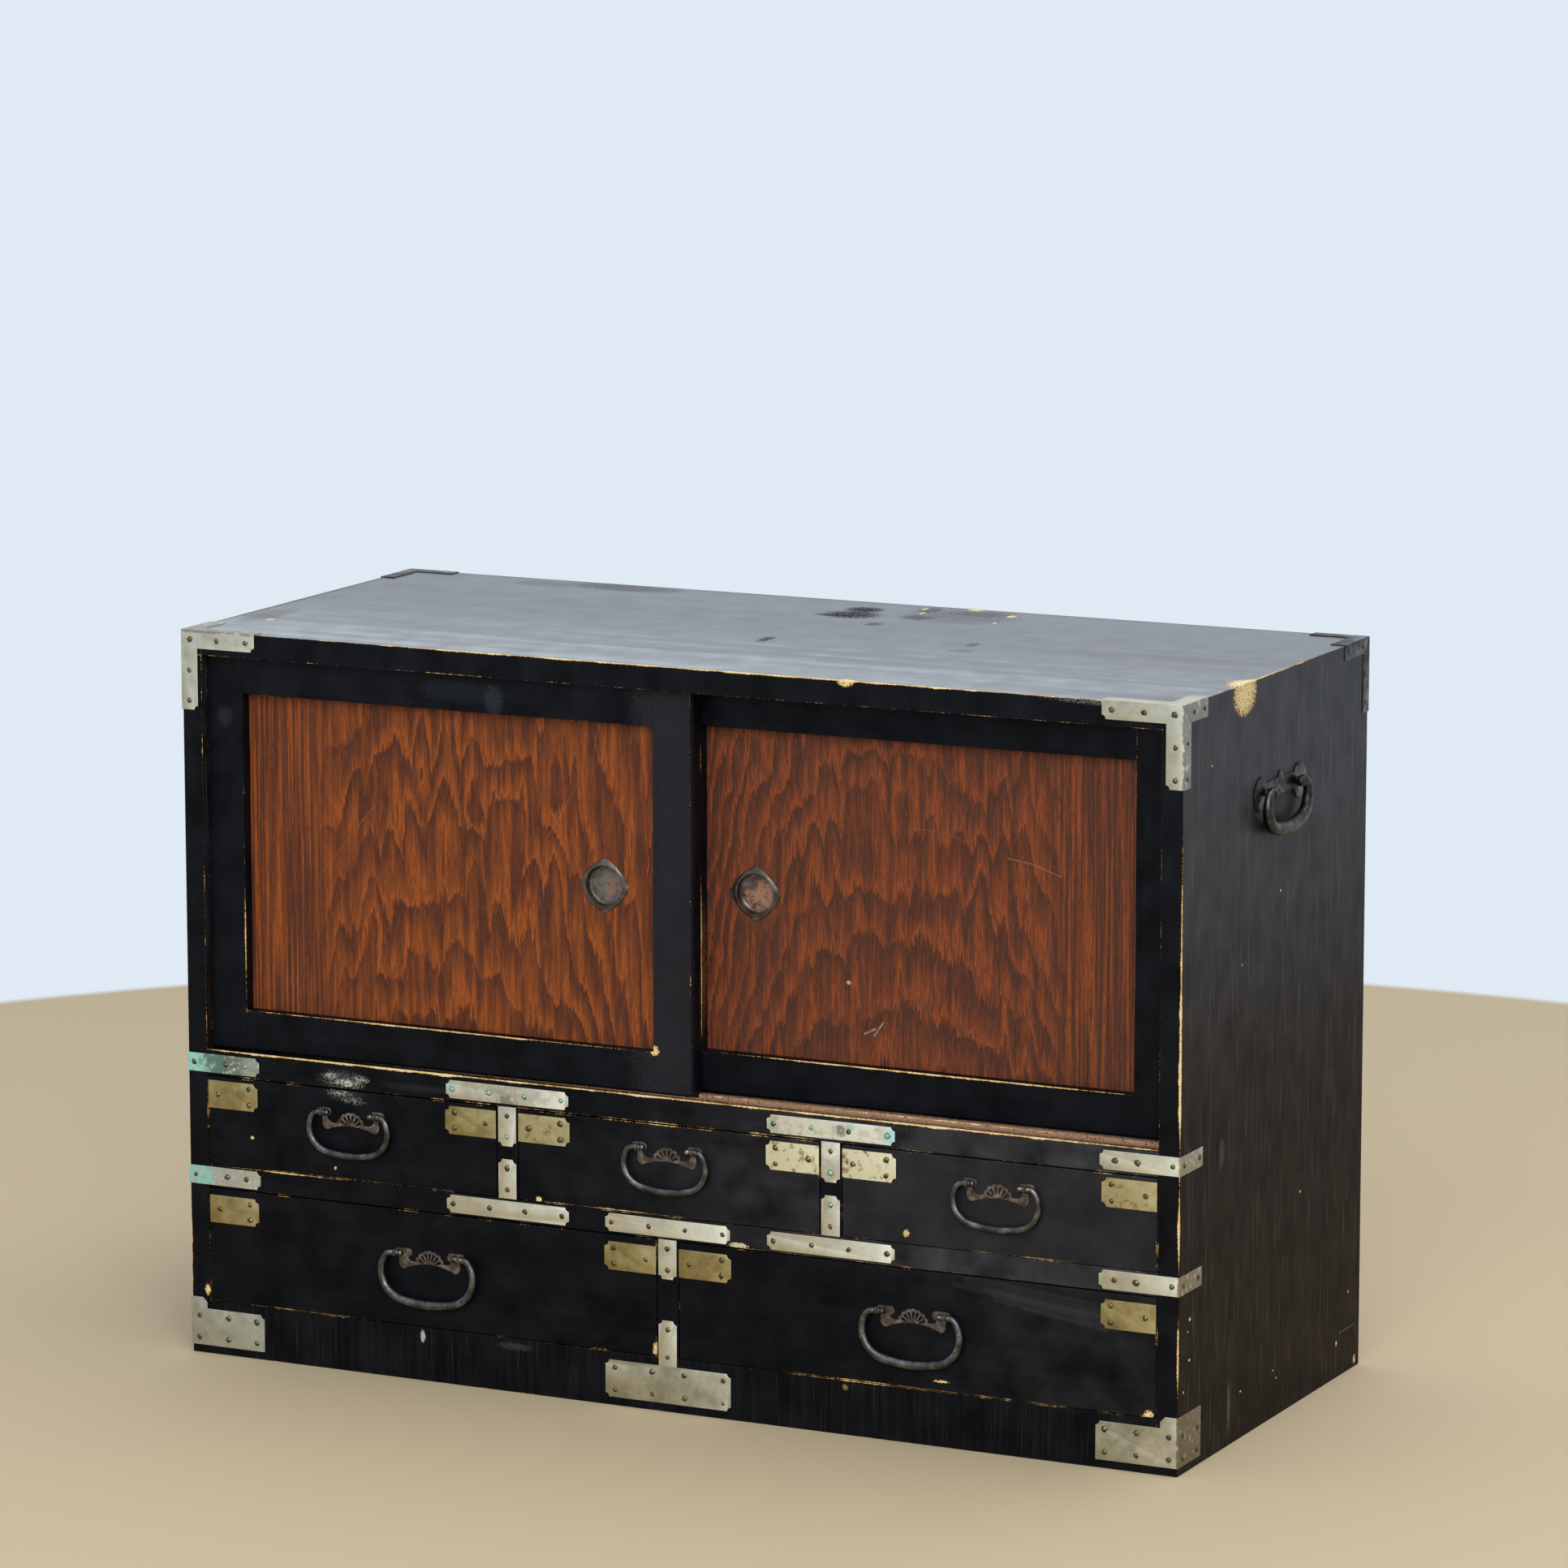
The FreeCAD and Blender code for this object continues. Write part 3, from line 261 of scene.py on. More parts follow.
# Each look gives streaks of a width in mm, how much they, the clouds and thin pale scuffs
# show, and blend, an axis and two places on it, between which low gives way to lifted.
frontLook = {"deep": "#050608", "lifted": "#111218", "gloss": 0.08, "rough": (0.36, 0.5),
             "streakWidth": 9.0, "streaky": 0.35, "cloudy": 1.0, "scuffs": 0.0}
# greyLook, for the upper right drawer, lifts the whole front to a lighter grey: painted sheen.
greyLook = {"deep": "#131316", "lifted": "#28282c", "gloss": 0.18, "rough": (0.38, 0.44),
            "streakWidth": 12.0, "streaky": 0.2, "cloudy": 0.8, "scuffs": 0.0}
baseLook = {**frontLook, "streakWidth": 4.0, "streaky": 0.9, "scuffs": 0.05}
# The looks below lift the front's black film to a lighter, glossier grey towards the right: painted sheen.
sheenBlendLook = {**frontLook, "low": frontLook["lifted"], "lowGloss": frontLook["gloss"]}
lowerLook = {**sheenBlendLook, "lifted": "#1f1f23", "gloss": 0.11, "blend": (0, 150.0, 380.0)}
railLook = {**sheenBlendLook, "lifted": "#38383e", "gloss": 0.2, "blend": (0, -60.0, 260.0)}
middleLook = {**sheenBlendLook, "lifted": "#2c2c31", "gloss": 0.14, "blend": (0, -150.0, 120.0)}
sideLook = {"deep": "#0c0a09", "lifted": "#2c2b2f", "gloss": 0.21, "rough": (0.38, 0.58),
            "streakWidth": 1.9, "streaky": 1.3, "cloudy": 0.7, "scuffs": 0.2,
            "blend": (2, 260.0, 620.0), "low": "#2a1e16", "lowGloss": 0.05}
# The top's grey film is partly faded lacquer and partly painted reflection. low, a lighter and glossier band along
# the front of the top, is painted reflection with some dust haze.
topLook = {"deep": "#34363b", "lifted": "#54575c", "gloss": 0.74, "rough": (0.24, 0.36),
           "streakWidth": 20.0, "streaky": 1.8, "cloudy": 0.6, "scuffs": 0.04,
           "blend": (1, front, front + 260.0), "low": "#8e9297", "lowGloss": 1.0}


def lacquerCoat(add, point, grain, look):
    # Streaks times clouds give a shade, which goes from deep to lifted
    drawn = stretched(add, point, grain, lacquer["grainStretch"])
    streaks = add("TexNoise", [drawn, None, 1 / look["streakWidth"], 4.0, 0.65])
    streaks = add("Math MULTIPLY_ADD", [streaks, look["streaky"], 0.5 - look["streaky"] / 2])
    clouds = add("TexNoise", [point, None, 1 / lacquer["cloudWidth"], 3.0])
    clouds = add("Math MULTIPLY_ADD", [clouds, look["cloudy"], 0.5 - look["cloudy"] / 2])
    shade = add("Math MULTIPLY", [streaks, clouds])
    shade = add("MapRange", [shade, 0.12, 0.42])
    lifted, shine = look["lifted"], look["gloss"]
    if "blend" in look:
        axis, start, end = look["blend"]
        rise = add("SeparateXYZ", [point], axis)
        rise = add("MapRange", [rise, start, end], interpolation_type="SMOOTHSTEP")
        lifted = add("Mix", {0: rise, 6: look["low"], 7: lifted}, **colourMix)
        shine = add("MapRange", [rise, 0.0, 1.0, look["lowGloss"], shine])
    colour = add("Mix", {0: shade, 6: look["deep"], 7: lifted}, **colourMix)
    scuffs = add("TexNoise", [drawn, None, 1 / lacquer["scuffWidth"], 1.0])
    scuffs = add("MapRange", [scuffs, 0.6, 0.78, 0.0, look["scuffs"]])
    colour = add("Mix", {0: scuffs, 6: colour, 7: lacquer["dust"]}, **colourMix)
    rough = add("MapRange", [streaks, 0.3, 0.7, *look["rough"]])
    gloss = add("MapRange", [shade, 0.0, 1.0, 0.6, 1.35])
    gloss = add("Math MULTIPLY", [gloss, shine])
    return colour, rough, gloss, streaks


def blackLacquer(name, edges, coats, lines=(), wear=1.0, spread=(0.49, 0.72), boosts=(),
                 chips=(), stains=(), scratches=()):
    # coats are (grain, look) pairs: for the whole piece, or for its front, sides and top.
    # edges are (box, ways) pairs and lines are (way, place) pairs, where the film wears.
    material, add, shader, point = startMaterial(name)
    colour, rough, gloss, streaks = lacquerCoat(add, point, *coats[0])
    if len(coats) > 1:
        facing = add("VectorMath ABSOLUTE", [add("TexCoord", output="Normal")])
        for axis, (grain, look) in zip((0, 2), coats[1:]):
            shown = add("SeparateXYZ", [facing], axis)
            shown = add("MapRange", [shown, 0.45, 0.75])
            other = lacquerCoat(add, point, grain, look)
            colour = add("Mix", {0: shown, 6: colour, 7: other[0]}, **colourMix)
            rough, gloss, streaks = [add("Mix", {0: shown, 2: one, 3: two})
                                     for one, two in zip((rough, gloss, streaks), other[1:])]

    # Stains and scratches lie on the film, and dull it. A few of them are painted sheen, lighter patches where the
    # film catches the light.
    ragged = add("TexNoise", [point, None, 1 / lacquer["raggedSize"], 3.0, 0.6])
    frayed = add("Math SUBTRACT", [ragged, 0.5])
    mottle = add("Math MULTIPLY_ADD", [frayed, 4.0, 1.0])
    for centre, size, tone, amount in stains:
        near = add("Math MULTIPLY", [mottle, patch(add, point, centre, size)])
        near = add("MapRange", [near, 0.25, 0.55, 0.0, amount])
        colour = add("Mix", {0: near, 6: colour, 7: tone}, **colourMix)
        gloss = add("Mix", {0: near, 2: gloss, 3: 0.0})
        rough = add("Mix", {0: near, 2: rough, 3: 0.75})
    for start, end, width, tone, amount in scratches:
        near = add("Math MULTIPLY", [scratch(add, point, start, end, width), ragged])
        near = add("Math MULTIPLY", [near, amount * 2], use_clamp=True)
        colour = add("Mix", {0: near, 6: colour, 7: tone}, **colourMix)

    # Worn edges: bare where the edge is nearer than a reach that comes and goes along it
    runs = add("TexNoise", [point, None, 1 / lacquer["wearRun"], 4.0, 0.66])
    reach = add("MapRange", [runs, *spread, 0.0, wear])
    for centre, size, extra in boosts:
        near = add("Math MULTIPLY", [patch(add, point, centre, size), runs])
        reach = add("Math MULTIPLY_ADD", [near, extra * 2, reach])
    reach = add("Math MULTIPLY_ADD", [frayed, 1.5, reach])
    nearest = least(add, [edgeDistance(add, point, box, ways) for box, ways in edges]
                    + [lineDistance(add, point, place, way) for way, place in lines])
    bare = add("Math SUBTRACT", [reach, nearest])
    for centre, size, depth in chips:
        near = add("Math MULTIPLY_ADD", [mottle, patch(add, point, centre, size), -0.25])
        near = add("Math MULTIPLY", [near, depth])
        bare = add("Math MAXIMUM", [bare, near])
    worn = add("MapRange", [bare, 0.0, 0.25])
    core = add("MapRange", [bare, 0.1, 1.1, 0.2, 1.0])
    core = add("Math MULTIPLY", [core, runs])
    core = add("Math MULTIPLY", [core, mottle])
    wood = add("ValToRGB", [core], stops=[
        (0.0, lacquer["undercoat"]), (0.14, lacquer["tan"]), (0.3, lacquer["tan"]),
        (0.46, lacquer["cream"])])
    colour = add("Mix", {0: worn, 6: colour, 7: wood}, **colourMix)

    # Pale specks of dust and nicks, one in some of the cells
    cells = add("TexVoronoi", {"Vector": point, "Scale": 1 / lacquer["speckSpacing"]})
    size = lacquer["speckSize"] / lacquer["speckSpacing"]
    speck = add("MapRange", [cells, size * 1.4, size * 0.6])
    chance = add("SeparateColor", [cells.node.outputs["Color"]])
    chance = add("MapRange", [chance, 0.45, 0.5, 0.0, lacquer["speckShow"]])
    speck = add("Math MULTIPLY", [speck, chance])
    colour = add("Mix", {0: speck, 6: colour, 7: lacquer["dust"]}, **colourMix)
    height = add("Math MULTIPLY_ADD", [worn, -1.6, streaks])
    bump = add("Bump", {"Height": height, "Distance": lacquer["brushDepth"] * mm,
                        "Strength": 0.5})
    rough = add("Mix", {0: worn, 2: rough, 3: 0.8})
    feed(shader, {"Base Color": colour, "Roughness": rough, "Specular IOR Level": gloss,
                  "Normal": bump})
    return material


# Pieces taken over from the frame

def camelName(node):
    words = node.split("_")
    return words[0] + "".join(word.capitalize() for word in words[1:])


def boxOf(node):
    return [tuple(value / mm for value in corner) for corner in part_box(node)]


def takeOver(node, piece):
    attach(piece, bodyOf[node])
    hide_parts(node)


def eased(node, width, material, within=None, rounded=False):
    # The node's own shape, welded, with its sharp edges eased by a bevel of that width.
    # within is a box: then only the edges on two of its faces are eased, and the seams
    # between boards stay shut. rounded pieces have curved walls, which shade smoothly.
    mesh = bpy.data.meshes.new(camelName(node))
    shape = bmesh.new()
    shape.from_mesh(frame["nodes"][node].data)
    bmesh.ops.remove_doubles(shape, verts=shape.verts, dist=0.002 * mm)
    bmesh.ops.dissolve_limit(shape, angle_limit=math.radians(0.5), verts=shape.verts,
                             edges=shape.edges)
    for face in shape.faces:
        face.smooth = rounded
    if within is not None:
        weight = shape.edges.layers.float.new("bevel_weight_edge")
        for edge in shape.edges:
            sides = sum(all(abs(vertex.co[axis] / mm - plane[axis]) < 0.02
                            for vertex in edge.verts)
                        for axis in range(3) for plane in within)
            edge[weight] = 1.0 if sides >= 2 else 0.0
    shape.to_mesh(mesh)
    shape.free()
    mesh.materials.clear()
    mesh.materials.append(material)
    piece = addObject(camelName(node), mesh)
    bevel = piece.modifiers.new("easedEdges", "BEVEL")
    bevel.width = width * mm
    bevel.segments = 2
    bevel.limit_method = "ANGLE" if within is None else "WEIGHT"
    bevel.angle_limit = math.radians(35)
    bevel.harden_normals = rounded
    takeOver(node, piece)


def refinish(node, material):
    slots = frame["nodes"][node].data.materials
    slots.clear()
    slots.append(material)


# The two sides and the top are one box of boards with finger joints under the film.
# The marks are where the photographed chest has them.

boardEdge, sideThick = 0.7, 19.0  # mm
rear = boxOf("right_side_board")[1][1]
shellBox = [(-half, front, 0.0), (half, rear, tall)]


def nicks(*rows):
    # Small chips on the right side: mm behind the front, height, and their reach both ways
    return [((half, front + inward, z), (3, deep, high), 4.0)
            for inward, z, deep, high in rows]


shellMarks = {
    "boosts": [
        ((60, front, tall), (520, 12, 8), 1.3),
        ((half, front, 480), (8, 8, 60), 1.0),
        ((half, front, 365), (9, 9, 125), 2.0),
        ((half, front, 210), (11, 11, 42), 2.2),
        ((half, front, 100), (10, 10, 40), 1.6),
        ((-half, front, 90), (8, 8, 60), 1.0),
        ((half, -20, tall), (8, 150, 8), 1.2),
    ],
    "chips": [
        ((half, front + 131, 642), (20, 33, 25), 5.0),
        ((169, front, 649), (11, 9, 6), 3.0),
        ((-436, front + 87, tall), (6, 6, 5), 3.0),
        *[((x, front + inward, tall), (wide, deep, 3), 4.0) for x, inward, wide, deep in (
            (59, 393, 3.5, 8), (67, 370, 3, 7), (103, 406, 11, 5), (147, 386, 6, 9),
            (150, 343, 2.5, 5))],
        ((half, front + 401, 7), (4, 4, 6), 3.0),
        *nicks((24, 130, 3, 2.2), (20, 120, 1.6, 1.5), (24, 95, 2.6, 1.8),
               (12, 70, 1.6, 1.6)),
        ((-459, front, 58), (4, 6, 7), 3.0),
        *nicks((61, 591, 1.8, 1.6), (215, 460, 1.8, 1.6), (131, 411, 1.4, 1.4),
               (268, 187, 2.2, 1.6), (137, 41, 3.0, 1.2), (210, 42, 2.4, 1.2),
               (217, 34, 2.0, 1.4), (384, 72, 2.2, 2.0), (357, 31, 3.0, 3.0)),
    ],
    "stains": [
        *[((x, front + inward, tall + rise), (wide, deep, 8), tone, amount)
          for x, inward, rise, wide, deep, tone, amount in (
              (12.5, 367, 0, 26, 22, "#292b2d", 0.9), (15, 335, 0, 38, 32, "#292b2d", 0.9),
              (3, 326, 0, 30, 12, "#292b2d", 0.8), (106, 365, 4, 96, 80, "#6a6c6f", 0.8),
              (74, 344, 2, 24, 22, "#4a4c4f", 0.7), (118, 386, 2, 50, 26, "#5c5d5f", 0.7),
              (66, 388, 0, 16, 24, "#55575a", 0.7), (9, 174, 0, 8, 24, "#3c4045", 0.9),
              (56, 293, 0, 12, 15, "#55585c", 0.8), (184, 222, 0, 8, 16, "#55585c", 0.8),
              (189, 187, 0, 16, 11, "#6c6c6f", 0.7), (-244, 393, 0, 84, 30, "#606265", 0.8),
              (-320, 384, 0, 44, 22, "#737578", 0.6),
              (365, 225, 0, 150, 24, "#84807f", 0.45),
              (-450, 105, 0, 22, 66, "#7d776f", 0.6), (425, 12, 0, 120, 34, "#87878a", 0.4))],
        ((0, rear, tall), (900, 9, 8), "#6d6963", 0.6),
        ((-half, 0, tall), (10, 400, 8), "#716b62", 0.6),
        ((half, front + 90, 257), (6, 9, 20), "#5f5c5a", 0.5),
        ((half, front + 335, 270), (6, 20, 22), "#454340", 0.4),
        ((half, front + 111, 35), (6, 4, 30), "#75716a", 0.5),
    ],
    "scratches": [
        ((half, front + 362, 32), (half, front + 364, 62), 0.5, "#0d0b0a", 0.9),
        ((half, front + 365, 39), (half, front + 400, 39), 0.3, "#8a857c", 0.4),
        ((-330, front + 380, tall), (-180, front + 362, tall), 0.4, "#c3c7ca", 0.15),
        ((-130, front + 60, tall), (20, front + 210, tall), 0.3, "#c9cdd0", 0.12),
        ((210, front + 90, tall), (360, front + 130, tall), 0.3, "#c9cdd0", 0.12),
    ],
}
shellLacquer = blackLacquer(
    "lacquerShell", [(shellBox, "xyz"), (boxOf("top_board"), "x"),
                     ([(half - sideThick, front, 0.0), (half, rear, tall)], "z"),
                     ([(-half, front, 0.0), (sideThick - half, rear, tall)], "z")],
    [("z", frontLook), ("z", sideLook), ("x", topLook)], wear=0.75, spread=(0.52, 0.74),
    **shellMarks)
for node in ("left_side_board", "right_side_board", "top_board"):
    eased(node, boardEdge, shellLacquer, shellBox)


def edgeRuns(*rows):
    # Worn runs on front edges: middle, height, half length and depth of each
    return [((x, front, z), (long, 5, 5), extra) for x, z, long, extra in rows]


# Rails and posts: the way that their edges run, their coat and their marks
sillTop = boxOf("door_sill")[1][2]
grooves = [front + 12.5, front + 23.5]
posts, postWidth = boxOf("upper_posts"), 20.0
railMarks = {
    "door_sill": ("lacquerSill", "x", ("x", railLook), {
        "wear": 1.2,
        "lines": [("x", (0, y, sillTop)) for y in grooves],
        "boosts": [((230, front + 18, sillTop), (300, 12, 6), 1.1),
                   *edgeRuns((-290, sillTop, 230, 2.6), (230, sillTop, 330, 2.2),
                             (-40, sillTop, 120, 1.3), (-20, 254, 360, 0.4))],
        "stains": [((-319, front - 3, 262), (44, 6, 16), "#5a5a58", 0.7),
                   ((-314, front - 3.5, 259.5), (30, 6, 8), "#cbc6b2", 0.9),
                   ((-331, front - 3.5, 265), (16, 6, 7), "#b9b5a6", 0.8),
                   ((-300, front - 3.5, 264), (18, 6, 7), "#a9a69a", 0.8),
                   ((-240, front, 262), (60, 8, 5), "#2c2c2e", 0.5),
                   ((240, front + 18, sillTop - 4), (900, 22, 22), "#a98468", 0.95)]}),
    "middle_rail": ("lacquerMiddleRail", "x", ("x", railLook), {
        "wear": 0.8,
        "boosts": edgeRuns((-380, 172, 80, 0.9), (160, 152, 280, 0.5)),
        "stains": [((68, front, 154.5), (13, 6, 4), "#cfc6a4", 0.9)]}),
    "base_rail": ("lacquerBaseRail", "x", ("z", baseLook), {
        "wear": 0.7,
        "boosts": edgeRuns((200, 48, 260, 0.4)),
        "stains": [((-241, front, 40), (3.5, 6, 8), "#bdbab0", 0.8),
                   ((-150, front, 41), (26, 6, 5), "#3c3c3e", 0.6),
                   ((169, front, 42), (4, 6, 4), "#8a6a40", 0.8)]}),
    "upper_posts": ("lacquerUpperPosts", "z", ("z", frontLook), {
        "wear": 0.7,
        "lines": [("z", (posts[0][0] + postWidth, front, 0)),
                  ("z", (posts[1][0] - postWidth, front, 0))]}),
    "lower_post": ("lacquerLowerPost", "z", ("z", frontLook), {"wear": 0.7}),
}
for node, (name, way, coat, marks) in railMarks.items():
    eased(node, boardEdge, blackLacquer(name, [(boxOf(node), way)], [coat], **marks))

stile, topRail, bottomRail, topThick = 36.0, 32.0, 34.7, 21.0  # mm
railTop, railUnder = sillTop + 2 + bottomRail, tall - topThick - 1 - topRail
doorMarks = {
    "left": {
        "boosts": [((-220, front + 8, 313.7), (240, 6, 5), 1.4),
                   ((-419, front + 8, 380), (6, 6, 60), 1.2)],
        "chips": [((-16, front + 8, 315), (6, 12, 6), 4.0)],
        "stains": [((-205, front + 8, 613), (56, 12, 15), "#252a32", 0.5),
                   ((-170, front + 8, 608), (14, 12, 20), "#353b43", 0.5),
                   ((-437, front + 8, 575), (12, 12, 14), "#333639", 0.4),
                   # The last is painted sheen: a lighter grey down the meeting stile, where the film catches the
                   # light.
                   ((1, front + 8, 460), (60, 12, 900), "#333337", 0.45)]},
    "right": {
        "boosts": [((230, front + 32, 313.7), (240, 6, 5), 1.4),
                   ((17, front + 32, 385), (6, 12, 75), 2.2)],
        "stains": [((19, front + 32, 385), (6, 20, 95), "#7a4a24", 0.6)]},
}
for hand, marks in doorMarks.items():
    name = "lacquer" + hand.capitalize()
    (left, face, _), (right, _, _) = box = boxOf(hand + "_door_stiles")
    eased(hand + "_door_stiles", boardEdge, blackLacquer(
        name + "Stiles", [(box, "z")], [("z", frontLook)], wear=0.6,
        lines=[("z", (x, face, 0)) for x in (left + stile, right - stile)], **marks))
    box = boxOf(hand + "_door_rails")
    eased(hand + "_door_rails", boardEdge, blackLacquer(
        name + "Rails", [(box, "x")], [("x", frontLook)], wear=0.5,
        lines=[("x", (0, face, z)) for z in (railTop, railUnder)], **marks))

drawerMarks = {
    "upper_left_drawer": {
        "boosts": edgeRuns((-300, 173, 150, 0.5)),
        "stains": [((-318, front - 3, 249), (36, 6, 12), "#4e4e4d", 0.5),
                   ((-322, front - 4, 250), (30, 6, 7), "#c4c0ae", 0.9),
                   ((-308, front - 4, 244), (30, 6, 8), "#a9a69a", 0.8)],
        "chips": [((-411, front, 201), (2.4, 6, 2.4), 3.0),
                  ((-327, front, 182), (2, 6, 2.4), 3.0)]},
    "upper_middle_drawer": {
        "boosts": edgeRuns((-60, 173, 110, 0.8), (0, 253, 130, 0.5)),
        "chips": [((-125, front, 175), (4, 6, 4), 4.0)]},
    "upper_right_drawer": {
        "boosts": edgeRuns((330, 173, 110, 0.5)),
        "chips": [((226, front, 182), (4, 6, 4.5), 2.5)]},
    "lower_left_drawer": {
        "boosts": edgeRuns((-380, 49, 120, 0.6)),
        "chips": [((-12, front, 55), (4, 6, 8), 2.5)]},
    "lower_right_drawer": {
        "boosts": [*edgeRuns((230, 49, 200, 0.7)), ((445, front, 62), (5, 5, 50), 1.5)],
        "chips": [((449, front, 51), (6, 6, 5), 3.0), ((259, front, 57), (10, 6, 1.6), 2.5)],
        # Soft light streaks across the right of the front: smears, painted as a lighter sheen.
        "scratches": [
            ((startX, front, startZ), (endX, front, endZ), width, "#3a3a40", 0.2)
            for startX, startZ, endX, endZ, width in (
                (283, 147, 425, 131, 2.6), (300, 142, 432, 127, 1.2),
                (292, 150.5, 400, 140, 1.0), (310, 136, 420, 123, 3.0),
                (335, 129, 410, 119, 1.4), (270, 143, 390, 129, 1.6))]},
}
drawerLooks = {"upper_middle_drawer": middleLook, "upper_right_drawer": greyLook,
               "lower_right_drawer": lowerLook}
for drawer, marks in drawerMarks.items():
    node, look = drawer + "_front", drawerLooks.get(drawer, frontLook)
    eased(node, boardEdge, blackLacquer(
        camelName(node) + "Lacquer", [(boxOf(node), "xz")], [("x", look)], wear=0.8,
        **marks))
print("boards")


# Door panels: a thin board of flat-sawn ash, stained red-brown. Its growth rings meet the
# face as toothed flames in the middle and as upright lines towards the sides.

panelLooks = {
    "left": {"heart": -225.0, "light": "#984e20", "warm": "#793f1e", "mid": "#5e321e",
             "dark": "#45271e", "ringRun": 82.0, "toothHeight": 88.0, "toothWidth": 26.0,
             "flankSide": -1, "flank": 95.0, "crowd": 0.000014, "seed": 0.0,
             "jitter": 0.55, "streakWidth": 7.0, "streaky": 1.7, "uprightWidth": 2.7},
    "right": {"heart": 205.0, "light": "#8a4623", "warm": "#6c3822", "mid": "#543022",
              "dark": "#3f2820", "ringRun": 52.0, "toothHeight": 54.0, "toothWidth": 22.0,
              "flankSide": 1, "flank": 115.0, "crowd": 0.0, "seed": 310.0,
              "jitter": 0.8, "streakWidth": 5.0, "streaky": 0.9, "uprightWidth": 2.6},
}
panelScratches = {
    "left": [((-294, 505), (-311, 486), 0.3, "#8c5a3c"),
             ((-311, 486), (-351, 438), 0.15, "#8c5a3c"),
             ((-97, 535), (-124, 491), 0.2, "#90603f")],
    "right": [((205, 521), (240, 519), 0.15, "#885240"),
              ((240, 519), (262, 512), 0.15, "#885240"),
              ((298, 502), (320, 499), 0.3, "#9a6550"),
              ((320, 499), (348, 490), 0.3, "#9a6550"),
              ((166, 340), (176, 345), 0.5, "#a09082"),
              ((175, 339), (184, 352), 0.4, "#a09082"),
              ((150.6, 383), (151.4, 383), 1.1, "#c4b5a6")],
}
panelGrain = {
    "bend": 0.00005,       # how fast the rings turn upright away from the heart
    "power": 3.0,
    "flankWidth": 50.0,
    "toothStretch": 5.5,
    "toothFrom": 340.0,    # heights between which the teeth grow
    "toothTo": 520.0,
    "crowdBelow": 560.0,
    "swayWidth": 75.0,
    "swayHeight": 90.0,
    "cloudWidth": 40.0,
    "lineWidth": 1.3,
    "lineStretch": 16.0,
    "uprightStretch": 60.0,
    "poreWidth": 0.7,
    "poreStretch": 13.0,
    "poreDepth": 0.03,
}


